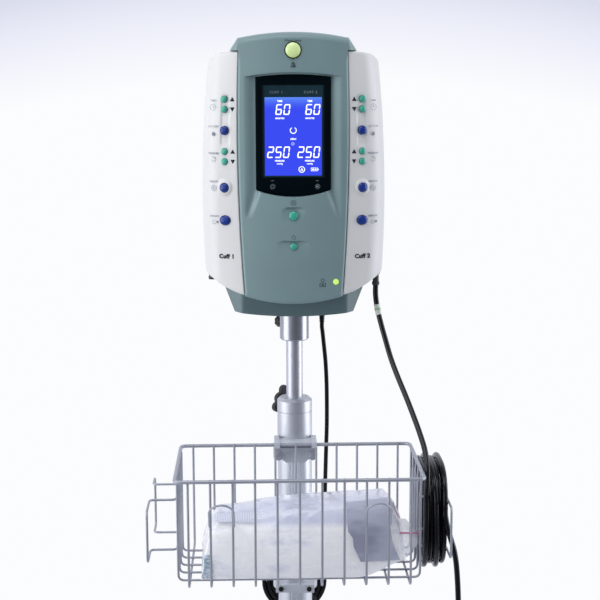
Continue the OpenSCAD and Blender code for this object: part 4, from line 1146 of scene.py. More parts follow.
lit.feed("Emission Color", lit.blend_tones(glow + lit.specks(30) * 0.06,
    (0.036, 0.060, 0.86), (0.115, 0.27, 0.93)))
glass = bmesh.new()
block(glass, (-35.3, -93.78, 183.4), (35.3, -93.5, 279.8), 0.1, 1)
piece("lit_panel", glass, lit, "console", place=CONSOLE)


# %% Thin lettering and signs
SIGN_DEEP, BEZEL_OUT = 0.16, 1.18


def on_screen(x, z, out=0.0):
    """Frame on the flat screen, its Z pointing outwards."""
    return moved(x, GLASS_Y - out, z) @ spun(90, "X")


def polygon(bm, points, place):
    """A thin plate from (x, y) points in a frame whose Z looks outwards."""
    one = bmesh.new()
    face = one.faces.new([one.verts.new((x, y, 0)) for x, y in points])
    if face.normal.z < 0:
        bmesh.ops.reverse_faces(one, faces=[face])
    for vert in new_verts(bmesh.ops.extrude_face_region(one, geom=one.faces[:])):
        vert.co.z += SIGN_DEEP
    bmesh.ops.recalc_face_normals(one, faces=one.faces)
    join(bm, one, place)


def words(bm, text, size, place, weight=0.0, wide=1.0):
    """Text in mesh form, its middle at the frame's origin, size in capital heights."""
    font = bpy.data.curves.new("words", "FONT")
    font.body, font.size, font.align_x = text, size * 1.42, "CENTER"
    font.extrude, font.offset = SIGN_DEEP / 2, weight
    font.space_character, font.resolution_u = wide, 4
    one = bmesh.new()
    add_mesh(one, meshed(bpy.data.objects.new("words", font)))
    bmesh.ops.translate(one, vec=(0, -size / 2, SIGN_DEEP / 2), verts=one.verts)
    join(bm, one, place)


def ring_sign(bm, radius, width, place, steps=32, start=0, end=360):
    """A ring, or an arc from one angle in degrees to another."""
    for i in range(steps):
        a, b = (math.radians(mixed(start, end, j / steps)) for j in (i, i + 1))
        polygon(bm, [(r * math.cos(t), r * math.sin(t)) for r, t in
            ((radius, a), (radius, b), (radius - width, b), (radius - width, a))], place)


def printed(name, bm, finish):
    """Hands over lettering and signs as a piece of the console."""
    piece(name, bm, finish, "console", place=CONSOLE, sharp=0)


SEGMENTS = {"0": "abcdef", "2": "abged", "5": "afgcd", "6": "afgcde"}


def figure(bm, digit, x, z, w, h, t=1.5, lean=0.13):
    """One seven-segment figure with its lower left corner at (x, z)."""
    g, tip = 0.25, t * 0.55

    def across(y):
        return [(g + 0.2, y), (tip + g, y + t / 2), (w - tip - g, y + t / 2),
            (w - g - 0.2, y), (w - tip - g, y - t / 2), (tip + g, y - t / 2)]

    def upright(x0, low, high):
        return [(x0, low + g), (x0 + t / 2, low + g + t / 2),
            (x0 + t / 2, high - g - t / 2), (x0, high - g),
            (x0 - t / 2, high - g - t / 2), (x0 - t / 2, low + g + t / 2)]

    left, right, low, mid, top = t / 2, w - t / 2, t / 2, h / 2, h - t / 2
    shapes = {"a": across(top), "g": across(mid), "d": across(low),
        "b": upright(right, mid, top), "c": upright(right, low, mid),
        "f": upright(left, mid, top), "e": upright(left, low, mid)}
    for s in SEGMENTS[digit]:
        polygon(bm, [(px + lean * py, py) for px, py in shapes[s]], on_screen(x, z))


# %% What the screen shows
shown = bmesh.new()
for x, z, number, apart, w, h in ((-22.4, 258.2, "60", 9.9, 7.8, 13.2),
        (14.6, 258.2, "60", 9.9, 7.8, 13.2), (-32.9, 205.2, "250", 9.8, 7.7, 14.2),
        (4.6, 205.2, "250", 9.8, 7.7, 14.2)):
    for i, digit in enumerate(number):
        figure(shown, digit, x + apart * i, z, w, h)
for x in (-16.6, 20.6):
    for text, size, aside, z, weight in (("TIME", 2.1, 0, 275.2, 0.12),
            ("MINUTES", 1.9, 0, 254.1, 0.1), ("PRESSURE", 1.9, -0.4, 201.7, 0.1),
            ("mmHg", 1.9, -0.4, 198.2, 0.08)):
        words(shown, text, size, on_screen(x + aside, z), weight)
ring_sign(shown, 4.2, 1.0, on_screen(0, 239.2), 32, 120, 420)
words(shown, "ZERO", 2.0, on_screen(0, 228.6), 0.1)
ring_sign(shown, 1.7, 0.35, on_screen(-0.6, 222.6), 20)
ring_sign(shown, 4.0, 0.9, on_screen(10.4, 190.9))
words(shown, "A", 3.2, on_screen(10.4, 190.9), 0.2)
battery_sign = ((21.8, 188.9, 30.2, 189.5), (21.8, 192.5, 30.2, 193.1),
    (21.8, 189.5, 22.4, 192.5), (29.6, 189.5, 30.2, 192.5), (30.2, 190.2, 31.4, 191.8),
    (23.4, 190.2, 25.6, 191.8), (26.4, 190.2, 28.6, 191.8))
for corners in battery_sign:
    polygon(shown, rectangle(*corners), on_screen(0, 0))
lit_white = Finish("lit_white", (0.6, 0.62, 0.7), 0.4, Emission_Strength=1.0)
lit_white.feed("Emission Color", lit_white.blend_tones(lit_white.specks(300, 2) * 0.35,
    (0.92, 0.95, 1.0), (0.55, 0.62, 0.98)))
printed("screen_figures", shown, lit_white)
dim = bmesh.new()
for text, size, x, z, out, weight, wide in (
        ("CUFF 1", 3.1, -21.0, 286.0, -0.18, 0.05, 1.25),
        ("CUFF 2", 3.1, 21.4, 286.0, -0.18, 0.05, 1.25),
        ("ON", 1.5, -26.2, 177.2, BEZEL_OUT, 0.03, 1),
        ("OFF", 1.5, 29.6, 177.2, BEZEL_OUT, 0.03, 1)):
    words(dim, text, size, on_screen(x, z, out), weight, wide)
on_lamp, off_lamp = (on_screen(x, 169.9, BEZEL_OUT) for x in (-25.8, 30))
ring_sign(dim, 3.1, 0.45, on_lamp)
ring_sign(dim, 1.6, 0.4, on_lamp, 20)
ring_sign(dim, 3.1, 0.45, off_lamp)
polygon(dim, rectangle(-1.6, -1.3, 1.6, 0.8), off_lamp)
ring_sign(dim, 1.2, 0.4, on_screen(30, 170.9, BEZEL_OUT), 12, 0, 180)
dim_print = moulded("dim_print", (0.15, 0.20, 0.22), 0.45, 0.05, 0.12)
printed("screen_words", dim, dim_print)

# %% [markdown]
# ## Lamps, shells behind the front, knobs and collar
#
# The alarm lamp is a plain dome in a black ring. The parts behind and below the front
# keep the CAD model's shapes, with their edges rounded, because they were modelled
# there in full.

# %% Lamps and the legends on the bowed front
lamp_glow = Finish("lamp_lens", (0.46, 0.60, 0.24), 0.22, Emission_Strength=0.34,
    Coat_Weight=0.6)
ribbing = (lamp_glow.axis("X") * 2400).sine()
# The alarm lamp's lens glows paler and brighter towards its top: a painted highlight on
# the lit dome.
alarm_top_highlight = lamp_glow.axis("Z").between((CONSOLE_Z + 328) * MM, (CONSOLE_Z + 346) * MM)
above_led = lamp_glow.axis("Z").between((CONSOLE_Z + 60) * MM, (CONSOLE_Z + 70) * MM)
lamp_glow.feed("Emission Color", lamp_glow.blend_tones(alarm_top_highlight,
    lamp_glow.blend_tones(above_led, (0.9, 1.6, 0.05), (0.42, 0.52, 0.18)),
    (0.82, 0.88, 0.56)))
lamp_glow.feed("Normal", lamp_glow.raised(ribbing, 0.15, 0.0003))
lens = turned([(0, -6.8), (12, -6.8), (12, -3.7), (9.2, -3.7), (9.2, 0.6), (8.9, 1.4),
    (7.9, 2.4), (6.2, 3.2), (4.2, 3.8), (2.1, 4.1), (0, 4.2)], 64)
turned([(0, -6), (3.6, -6), (3.6, 0.1), (3.2, 0.6), (0, 0.9)], 32,
    on_face(0, LAMP_Z).inverted() @ on_face(LED_TURN, LED_Z), lens)
piece("lamp_lenses", lens, lamp_glow, "console", ("indicator_lamps",),
    CONSOLE @ on_face(0, LAMP_Z), 40)
surround = turned([(9.35, -3), (10.5, -3), (10.5, 0.5), (10.1, 0.9), (9.35, 0.4),
    (9.35, -3)], 64)
piece("lamp_ring", surround, frame_black, "console",
    place=CONSOLE @ on_face(0, LAMP_Z), sharp=40)


def wrapped(turn, z, set_in=0, out=0.04):
    """Maps a flat sign onto the bowed front, round its middle."""
    def move(p):
        return (on_face(turn + p.x / FRONT_R, z + p.y, set_in, out)
            @ Vector((0, 0, p.z)))
    return move


sign = bmesh.new()
words(sign, "Alarm Lamp", 2.7, wrapped(0, 348.8), 0.03, 1.1)
polygon(sign, [(-4, -2.2), (4, -2.2), (2.6, 0), (2.1, 2.9), (0, 4.2), (-2.1, 2.9),
    (-2.6, 0)], wrapped(0, 318.6))
polygon(sign, rectangle(-1, -3.6, 1, -2.7), wrapped(0, 318.6))
ring_sign(sign, 2.6, 0.5, wrapped(0, 323.4), 8, 20, 160)
ring_sign(sign, 3.4, 0.45, wrapped(0, 150), 28)
ring_sign(sign, 1.7, 0.4, wrapped(0, 150), 16, -30, 210)
polygon(sign, rectangle(-0.3, -1.8, 0.3, 0.4), wrapped(0, 150))
ring_sign(sign, 2.5, 0.45, wrapped(0, 107), 20, 120, 420)
polygon(sign, rectangle(-0.25, 0.2, 0.25, 3.1), wrapped(0, 107))
printed("cover_signs", sign, ink_teal)
sign = bmesh.new()
beside_led = LED_TURN - 17 / FRONT_R
ring_sign(sign, 2.3, 0.7, wrapped(beside_led, 52.4), 20)
for corners in ((-4, -5, 4, -4.2), (-4, -0.8, 4, 0), (-4, -4.2, -3.2, -0.8),
        (3.2, -4.2, 4, -0.8), (-1.6, -3.4, 1.6, -1.6)):
    polygon(sign, rectangle(*corners), wrapped(beside_led, 49))
printed("lamp_signs", sign, ink_teal)


# %% Legends of the two button columns
ARROWS = ((0, 1), (1, -1), (3, 1), (4, -1))
LEGENDS = ((275.8, "TIME"), (244, "SET CUFF"), (210.6, "PRESSURE"), (175.4, "INFLATE"),
    (132, "DEFLATE"))
HAND = ((-1.9, -1, -1.1, 1.4), (-0.9, -1, -0.1, 2.6), (0.1, -1, 0.9, 2.2),
    (1.1, -1, 1.9, 1.2), (-1.9, -2.6, 1.9, -0.8))


def beside(side, mm, z):
    """Maps a sign onto a panel, so far to the right of its button column."""
    return wrapped(side * FACE_TURN + mm / FRONT_R, z, PANEL_SET)


ARROWS_IN, LEGENDS_OUT = 11, 14.8
for name, side, word in (("left", -1, "Cuff 1"), ("right", 1, "Cuff 2")):
    bold, faint = bmesh.new(), bmesh.new()
    for row, way in ARROWS:
        polygon(bold, [(-3, -2.5 * way), (3, -2.5 * way), (0, 2.7 * way)],
            beside(side, -side * ARROWS_IN, ROW_Z[row]))
    words(bold, word, 5.2, beside(side, 1.2 - side * 0.4, 81.6), 0.34, 1.12)
    x = side * LEGENDS_OUT
    for z, text in LEGENDS:
        words(faint, text, 2.3, beside(side, x, z), 0.02)
    clock, palm, gauge, fill, release = (beside(side, x, z)
        for z in (267.6, 235, 203.4, 167.4, 124.6))
    ring_sign(faint, 4.0, 0.35, clock, 28)
    polygon(faint, rectangle(-0.2, 0, 0.2, 2.8), clock)
    polygon(faint, rectangle(0, -0.2, 2, 0.2), clock)
    for corners in HAND:
        polygon(faint, rectangle(*corners), palm)
    ring_sign(faint, 3.2, 0.4, gauge, 20, 200, 500)
    polygon(faint, [(0, 0), (2.6, 1.9), (2.3, 2.3), (0, 0.5)], gauge)
    ring_sign(faint, 3.8, 0.4, fill, 24, 60, 400)
    ring_sign(faint, 1.8, 0.4, fill, 16)
    ring_sign(faint, 2.7, 0.4, release, 20, 120, 420)
    polygon(faint, rectangle(3.2, -1.4, 5.8, 1.4), release)
    printed(name + "_arrows", bold, ink_dark)
    printed(name + "_legends", faint, ink_grey)


# %% Changes to the shape of three CAD nodes
KNOB_SEAT, KNOB_HEADING, KNOB_TURN = Vector((0, 0, COLLAR_TOP - 9.5)), 123, 54
KNOB_WAY = Vector((math.cos(math.radians(KNOB_HEADING)),
    math.sin(math.radians(KNOB_HEADING)), 0))
KNOB_HEAD, KNOB_LONGER, KNOB_WIDER = 27.5, 3, 1.14


def longer_knob(bm):
    """Draws the collar knob's head outwards along its screw and widens its lobes."""
    for vert in bm.verts:
        along = (vert.co - KNOB_SEAT).dot(KNOB_WAY)
        if along > KNOB_HEAD:
            wide = vert.co - KNOB_SEAT - KNOB_WAY * along
            vert.co = KNOB_SEAT + KNOB_WAY * (along + KNOB_LONGER) + wide * KNOB_WIDER


def short_left_port(bm):
    """Lifts the lower end of the left hose port, which is the shorter one."""
    for vert in bm.verts:
        if vert.co.x < 0 and vert.co.z < CONSOLE_Z + 43:
            vert.co.z += 8


def head_and_chin(bm):
    """Lifts the head's lower edge over the panels and rounds the chin's corners."""
    for vert in bm.verts:
        x, y, z = vert.co
        if abs(x) > 60 and -62.5 < y < -21 and 332.5 < z - CONSOLE_Z < 334.5:
            vert.co.z += 3.6
    corners = [e for e in bm.edges if all(abs(abs(v.co.x) - 67) < 0.2
        and abs(v.co.y + 61.8) < 0.3 and v.co.z < CONSOLE_Z + 31 for v in e.verts)]
    rounded(bm, corners, 5, 4)


# %% Housing, socket, ports, what sits inside, and the stand's collar
# The whole rear housing takes the darker green, painted shade meant for its chin under
# the cover.
softened("rear_housing", "rear_housing_shell", housing_shaded_green, "console", 1.6, 50,
    shape=head_and_chin)
socket_metal = drawn_metal("socket_metal", (0.44, 0.45, 0.50), 0.32)
softened("mount_socket", "mount_socket_block", socket_metal, "console", 0.5)
softened("hose_ports", "hose_port_stubs", plug_black, "console", 0.4,
    shape=short_left_port)
softened("housing_screws", "rear_screws", black_oxide, "console", 0.2,
    50, 1)
board_green = moulded("board_green", (0.010, 0.085, 0.035), 0.35, 0.2, 0.25)
softened("main_board", "main_circuit_board", board_green, "console", 0.2, 50, 1)
for node, name, finish, width, slot in (
        ("power_supply", "supply_can", zinc, 0.6, "supply"),
        ("air_pumps", "pump_pair", pump_grey, 0.8, "pump"),
        ("valve_manifold", "valve_block", satin_alloy, 0.6, "manifold"),
        ("battery_pack", "battery_block", battery_case, 1.2, "battery")):
    softened(node, name, finish, "console", width, 50)
softened("upper_tube", "upper_pole", steel, "console", 0.4)
softened("socket_knob", "socket_grip", knob_black, "socket_knob", 0.8, 40, 3)
softened("collar_knob", "collar_grip", knob_black, "collar_knob", 1.6, 40, 3,
    Matrix.Translation(KNOB_SEAT) @ spun(KNOB_TURN, KNOB_WAY)
    @ Matrix.Translation(-KNOB_SEAT), longer_knob)
softened("height_collar", "height_collar_ring", turned_alloy, "stand", 0.5)

# %% Basket clamp: a body, two bosses and hooks over the rim, and a plate under it
CLAMP_SCREW_X = 22.5
clamp = prism([(-29, -7), (29, -7), (29, -21.4), (20.5, -21.4), (12, -27.4), (-12, -27.4),
    (-20.5, -21.4), (-29, -21.4)], -33, -6)
for m in (-1, 1):
    for x0, x1, low, high, width in ((18, 27, (-36.6, -21), (-30, -12.5), 1),
            (21, 28, (-49.6, 2.6), (-30, 4), 0.5),
            (21, 28, (-49.6, -3.4), (-48, 3.4), 0.5)):
        x0, x1 = sorted((x0 * m, x1 * m))
        block(clamp, (x0, *low), (x1, *high), width)
for x0, x1, low, high in ((-28, 28, (-40.8, -2), (-6, 1.6)),
        (-28, -21, (-33, -8), (-8, 3.6)), (21, 28, (-33, -8), (-8, 3.6))):
    block(clamp, (x0, *low), (x1, *high), 0.6)
screw_holes = [drill(2.7, -30, 60, moved(CLAMP_SCREW_X * m, -10, -18.5)
    @ spun(90, "X"), 24) for m in (-1, 1)]
clamp = cut(clamp, drill(23.1, -60, 20, None, 96), *screw_holes, overlaps=True)
rounded(clamp, sharp_edges(clamp, 40), 0.45)
weighted(piece("basket_clamp_block", clamp, clamp_grey, "stand", ("basket_clamp",),
    RIM @ spun(BASKET_TURN, "Z")))
softened("cord_clamp", "cord_clamp_halves", clamp_grey, "stand", 0.6, 50)

# %% Clamp screws: the upper pair is bright, the lower pair black
SCREW_BLACK = (0.02, 0.02, 0.022)
screw_mix = coated("screw_mix", SCREW_BLACK, 0.4, 0.7)
upper_pair = screw_mix.axis("Z").between(0.76, 0.77)
screw_mix.feed("Base Color", screw_mix.blend_tones(upper_pair, SCREW_BLACK,
    (0.42, 0.44, 0.48)))
softened("clamp_screws", "clamp_screw_heads", screw_mix, "stand", 0.3,
    50, 1)

# %% [markdown]
# ## Lower pole
#
# The lower pole is an extruded tube: its front carries a few fine flutes along its
# whole length. A ring with those flutes is extruded upwards.

# %% Fluted pole
POLE_R, POLE_BORE_R, FLUTE_DEEP, FLUTE_HALF = 23, 21, 0.55, 1.6
FLUTES = (-14, -8.5, -3, 3, 8.5, 14)


def pole_radius(degrees):
    """The pole's outer radius at an angle, less where a flute runs down the front."""
    off = (degrees - 270 + 180) % 360 - 180
    return POLE_R - max(FLUTE_DEEP * max(0, 1 - abs(off - f) / FLUTE_HALF)
        for f in FLUTES)


def pole_ring(radii, z):
    """A ring of points, one to each degree, at one height."""
    return [pole.verts.new((r * math.cos(math.radians(i)), r * math.sin(math.radians(i)),
        z)) for i, r in enumerate(radii)]


pole = bmesh.new()
levels = [v.co.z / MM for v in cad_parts["lower_tube"].data.vertices]
outside, bore = [pole_radius(i) for i in range(360)], [POLE_BORE_R] * 360
rings = [(pole_ring(outside, z), pole_ring(bore, z)) for z in (min(levels), max(levels))]
(low_out, low_in), (high_out, high_in) = rings
for i in range(360):
    j = (i + 1) % 360
    pole.faces.new((low_out[i], low_out[j], high_out[j], high_out[i]))
    pole.faces.new((low_in[j], low_in[i], high_in[i], high_in[j]))
    pole.faces.new((low_out[j], low_out[i], low_in[i], low_in[j]))
    pole.faces.new((high_out[i], high_out[j], high_in[j], high_in[i]))
bmesh.ops.recalc_face_normals(pole, faces=pole.faces)
piece("lower_pole", pole, satin_alloy, "stand", ("lower_tube",))

# %% [markdown]
# ## Wire basket and hose racks
#
# The basket is welded from round wire: a heavier rim, long wires that run down the
# front, under the floor and up the back, side wires across them, two arched label
# holders that lean forward, and a rack of bent wire on each end for a wound hose.

# %% Basket
RIM_D, WIRE_D, WIRE_STEP = 4.8, 3.0, 27
LONG_WIRES, SIDE_WIRES, SIDE_FIRST = 11, 5, 24
BEND_R, TOP_Z = 7.5, 1.8
half_w, inner = BASKET_W / 2, RIM_D / 2 - 0.4
reach = WIRE_STEP * (LONG_WIRES - 1) / 2
basket = bmesh.new()


def loop(points, radius, steps=7):
    """Closed path with rounded corners."""
    points = [Vector(p) for p in points]
    out = []
    for a, b, c in zip(points[-1:] + points, points, points[1:] + points[:1]):
        out += corner(a, b, c, radius, steps)
    return out


add_wire(basket, loop([(-half_w, 0, 0), (half_w, 0, 0), (half_w, BASKET_D, 0),
    (-half_w, BASKET_D, 0)], 10), RIM_D, 12, True)
for i in range(LONG_WIRES):
    x = -reach + i * WIRE_STEP
    front, back = inner, BASKET_D - inner
    add_wire(basket, bent([(x, front, TOP_Z), (x, front, -BASKET_H), (x, back, -BASKET_H),
        (x, back, TOP_Z)], BEND_R), WIRE_D, 10)
side_low, side_x = -BASKET_H + 0.74 * WIRE_D, half_w - inner
for k in range(SIDE_WIRES):
    y = SIDE_FIRST + k * WIRE_STEP
    add_wire(basket, bent([(-side_x, y, 1.6), (-side_x, y, side_low),
        (side_x, y, side_low), (side_x, y, 1.6)], BEND_R), WIRE_D, 10)


def arch_path(x, wide, low, high):
    """Straight legs and a half-round top, in a plane that leans forward."""
    low, high = Vector(low), Vector(high)
    lean = (high - low).normalized()
    r, long = wide / 2, (high - low).length
    path = [Vector((x - r, 0, 0)) + low]
    for i in range(17):
        a = math.pi - math.pi * i / 16
        path.append(Vector((x + r * math.cos(a), 0, 0)) + low
            + lean * (long - r + r * math.sin(a)))
    return path + [Vector((x + r, 0, 0)) + low]


for x in (-reach + 1.5 * WIRE_STEP, reach - 1.5 * WIRE_STEP):
    add_wire(basket, arch_path(x, WIRE_STEP * 1.1, (0, 0.3, -56), (0, -20, -23)),
        WIRE_D - 0.4, 10)
piece("wire_basket", basket, wire_silver, "stand", ("basket",), BASKET, 50)

# %% Racks
EAR_TOP, EAR_LOW, BAR_X = 39.5, 104, 185.3
WALL_X = half_w - inner
ARM_X = WALL_X + WIRE_D + 0.15
racks = bmesh.new()
for m in (-1, 1):
    for ear, bar, way in ((58, 11, 1), (125, 156, -1)):
        tip = ear + way * 24
        add_wire(racks, [Vector((m * p.x, p.y, p.z)) for p in bent(
            [(ARM_X, tip, -EAR_TOP), (ARM_X, ear, -EAR_TOP), (BAR_X, ear, -EAR_TOP),
                (BAR_X, bar, -EAR_TOP), (BAR_X, bar, -EAR_LOW), (BAR_X, ear, -EAR_LOW),
                (ARM_X, ear, -EAR_LOW), (ARM_X, tip, -EAR_LOW)], 6.5)], WIRE_D, 10)
        for z in (EAR_TOP, EAR_LOW):
            y = tip - way * 4
            x0, x1 = sorted((m * (WALL_X + WIRE_D / 2 - 0.3),
                m * (ARM_X - WIRE_D / 2 + 0.9)))
            block(racks, (x0, y - 1.8, -z - 1.1), (x1, y + 1.8, -z + 1.2), 0.5)
piece("hose_rack_wires", racks, wire_silver, "stand", ("hose_racks",),
    BASKET, 50)

# %% [markdown]
# ## The bagged cuff
#
# The basket holds a folded cuff in a clear bag with a paper card. The bag starts as a
# finely divided block that is rounded, pulled up towards its right end and creased by
# long slanting folds. The card, the teal cloth that shows at the lower left and the
# hatched print are thin sheets laid on it where the camera sees them; the red thread
# and tape are round stock. The film's shine comes from its finish, with highlights
# painted as lighter streaks into the film's colour and into the card's.

# %% The bag's form
BAG_X, BAG_Y, BAG_W, BAG_D, BAG_LOW, BAG_CUTS = 5, 78, 264, 134, -130.8, 89


def bag_top(x):
    """The bag rises from the left to the right, with a dip near its right end."""
    return -58 + 17 * soft(x, -112, 70) + 3.5 * soft(x, 60, 118) - 6 * soft(x, 112, 134)


def bag_foot(x):
    """The underside lifts off the floor wires towards the right end."""
    return BAG_LOW + 22 * soft(x, 70, 138)


def crease(p, slant, pitch, seed):
    """Sharp-edged folds along a slanting direction."""
    at = (p.x + slant * p.z) / pitch
    wander = noise.noise(Vector((p.x * 0.012, p.y * 0.02, p.z * 0.012 + seed))) * 1.5
    t = (at + wander) % 1
    return (1 - abs(2 * t - 1)) ** 3


def bag_place(p):
    """Point of the bag for a point of a cube from -1 to 1."""
    q = p.normalized() * max(abs(c) for c in p)
    up = 0.5 + 0.5 * p.z
    k = [mixed(a, b, 0.07 + 0.25 * up) for a, b in zip(p, q)]
    half_w, half_d = BAG_W / 2 - 9 * up ** 1.5, BAG_D / 2 - 24 * up ** 1.3
    x, y = BAG_X + k[0] * half_w, BAG_Y + k[1] * half_d
    z = mixed(bag_foot(x), bag_top(x), 0.5 + 0.5 * k[2])
    here = Vector((x, y, z))
    broad = noise.noise(here * 0.015 + Vector((3, 7, 1))) * 4.4
    folds = crease(here, 1.3, 96, 2) + 0.6 * crease(here, -1.2, 70, 5)
    small = noise.noise(here * 0.05 + Vector((0, 4, 9))) * 0.6
    low_fold = 1.6 * math.exp(-((z - bag_foot(x) - 14 - 0.05 * x) / 3.0) ** 2)
    out = Vector(k).normalized()
    calm = 1 - 0.8 * (1 - up) ** 2
    return here + out * ((broad + folds + small + low_fold) * calm - 3.2)


bag = bmesh.new()
bmesh.ops.create_cube(bag, size=2)
bmesh.ops.subdivide_edges(bag, edges=bag.edges[:], cuts=BAG_CUTS, use_grid_fill=True)
for vert in bag.verts:
    vert.co = bag_place(vert.co)
film = Finish("bag_film", (0.9, 0.9, 0.94), 0.2, Coat_Weight=0.8, Coat_Roughness=0.08,
    Subsurface_Weight=0.7, Subsurface_Radius=(1, 1, 1), Subsurface_Scale=0.05)
broad = film.specks(16, 3, 0.5)
streak = film.specks(30, 4, 0.6, stretch=(0.5, 1, 1.6))
fine = film.specks(90, 4, 0.6)
header = film.axis("Z").between((RIM_Z - 70) * MM, (RIM_Z - 63) * MM)
# The lighter streaks in the film's colour are painted highlights over its own milky
# lavender tone.
film_sheen_streaks = (broad * 0.4 + streak * 0.6).between(0.36, 0.58)
film_tone_and_sheen = film.node("ShaderNodeValToRGB", {"stops": [
    (0.0, (0.70, 0.71, 0.82)), (0.45, (0.95, 0.955, 0.99)), (1.0, (1.0, 1.0, 1.0))]},
    {0: film_sheen_streaks})
film.feed("Base Color", film.blend_tones(header * 0.75, film_tone_and_sheen, (0.60, 0.61, 0.75)))
film.feed("Roughness", fine * 0.3 + 0.1)
film.feed("Normal", film.raised(streak * 0.7 + fine * 0.3, 0.5, 0.004))
bag_tree = BVHTree.FromBMesh(bag)
bag_body = piece("bag_film_body", bag, film, "bagged_cuff", ("bagged_cuff",),
    BASKET, 0)


# %% What shows through the film
EYE = BASKET.inverted() @ (camera.matrix_world.translation / MM)


def laid(x, z, out):
    """The point of the bag that the camera sees behind (x, z) of its front plane."""
    for i in range(40):
        aim = (Vector((x - math.copysign(i, x), 12, z)) - EYE).normalized()
        hit = bag_tree.ray_cast(EYE, aim)[0]
        if hit:
            return hit - aim * out
    return Vector((x, 40, z))


def on_bag(name, bm, finish, sharp):
    """Hands over something that lies on the bag and moves with it."""
    piece(name, bm, finish, "bagged_cuff", place=BASKET, sharp=sharp)


def quartered(edge):
    """The points of an edge, with three more between each two."""
    edge = [Vector(p) for p in edge]
    return [a.lerp(b, t) for a, b in zip(edge, edge[1:])
        for t in (0, 0.25, 0.5, 0.75)] + edge[-1:]


def front_patch(name, left_edge, right_edge, finish, out, steps=16, thick=0.4):
    """A thin sheet draped over the bag's front, between two edges of equal count."""
    rows = list(zip(quartered(left_edge), quartered(right_edge)))
    on_bag(name, slab(*([[laid(*left.lerp(right, i / steps), lift)
        for i in range(steps + 1)] for left, right in rows]
        for lift in (out, out - thick))), finish, 50)


card_paper = moulded("card_paper", (0.235, 0.245, 0.335), 0.5, 0.2, 0.14)
# The card's colour runs in streaks from its own dark blue to a lighter tone: the lighter
# streaks are painted sheen of the film over it.
card_sheen_streaks = card_paper.specks(22, 3, 0.55, stretch=(0.6, 1, 1.5)).between(0.42, 0.62)
card_paper.feed("Base Color", card_paper.blend_tones(card_sheen_streaks, (0.26, 0.27, 0.36),
    (0.42, 0.435, 0.54)))
front_patch("bag_card",
    [(74.6, -107), (66, -88), (65, -77), (59, -68), (58, -54), (57, -43), (56.3, -31)],
    [(123, -105), (117, -92), (112.8, -79), (111, -66), (109, -52), (107.5, -40),
        (106.6, -26)], card_paper, 1.0)
teal_cloth = moulded("teal_cloth", (0.30, 0.40, 0.46), 0.8, 0.9, 0.2)
blotch = teal_cloth.specks(210, 3, 0.6).between(0.4, 0.62)
teal_cloth.feed("Base Color", teal_cloth.blend_tones(blotch, (0.23, 0.34, 0.41),
    (0.60, 0.66, 0.74)))
front_patch("bag_cloth", [(-119, -128), (-121.5, -118), (-121, -106), (-119, -95)],
    [(-106.5, -128), (-105.6, -118), (-106, -106), (-108, -96)], teal_cloth, 0.9, 8)
hatch_ink = Finish("hatch_ink", (0.34, 0.36, 0.48), 0.6)
bars = (hatch_ink.axis("X") * 2900 + hatch_ink.axis("Z") * 500).sine()
hatch_ink.feed("Base Color", hatch_ink.blend_tones(bars.between(-0.3, 0.3),
    (0.52, 0.535, 0.66), (0.78, 0.79, 0.88)))
front_patch("bag_print", [(-105.6, -53), (-105.6, -42.3)], [(-54.9, -56), (-54.9, -42)],
    hatch_ink, 0.9, 12, 0.3)

# %% The bag's loose end, the tape and the thread
END_X, END_LOW, END_HIGH, END_ROWS, END_COLUMNS = 122, -103, -62, 14, 10


def tail_point(i, j, lift):
    """The bag's loose end: clear film that waves a little past the folded cuff."""
    z, t = mixed(END_LOW, END_HIGH, i / END_ROWS), j / END_COLUMNS
    reach_out = 3 + 20 * math.sin(math.pi * (0.12 + 0.8 * i / END_ROWS))
    root = laid(END_X, z, -1)
    return Vector((root.x + reach_out * t, root.y + 5 * t * t - lift
        + 1.2 * math.sin(z * 0.3 + j * 0.5) * t, z - 1.5 * t * t))


red_tape = moulded("red_tape", (0.46, 0.13, 0.25), 0.5, 0.3, 0.2)
clear_film = Finish("clear_film", (0.86, 0.87, 0.93), 0.16, Alpha=0.5, Coat_Weight=0.8)
clear_film.feed("Roughness", clear_film.specks(70) * 0.3 + 0.05)
on_bag("bag_film_tail", slab(*([[tail_point(i, j, lift) for j in range(END_COLUMNS + 1)]
    for i in range(END_ROWS + 1)] for lift in (0, 0.35))), clear_film, 60)
tape, start = bmesh.new(), laid(END_X, -71, 1.4)
add_wire(tape, [start + Vector((x, 0.5 * math.sin(x * 0.3), 0))
    for x in range(0, 25, 2)], 2.0)
add_wire(tape, [laid(114 + 10 * (i / 14) ** 1.6, -31 - 24 * i / 14, 1.1)
    for i in range(15)], 0.9, 6)
on_bag("bag_thread", tape, red_tape, 60)

# %% [markdown]
# ## Rolling base
#
# Five legs meet in a hub under the pole. Each leg ends in a caster: a stamped fork and
# a wheel with a soft rounded tyre on a turned hub with a raised ring.

# %% Base, forks and wheels
softened("star_base", "star_base_casting", base_grey, "stand", 1.8, 50, 3)
WHEEL_D, WHEEL_W, LEG_REACH, TRAIL = 75, 22, 270, 22
r, w = WHEEL_D / 2, WHEEL_W / 2
tyre_half = [(r - 9, -w + 1), (r - 5, -w), (r - 2.5, -w + 1.2), (r - 0.7, -w + 4),
    (r, -w + 8)]
hub_half = [(4.15, -w + 0.8), (8.5, -w + 0.8), (9.5, -w + 2.6), (20, -w + 4),
    (24, -w + 2.4), (r - 9.05, -w + 1.6)]


def both_sides(half):
    """A closed profile from one side of a wheel and its mirror image."""
    return half + [(x, -z) for x, z in reversed(half)] + half[:1]


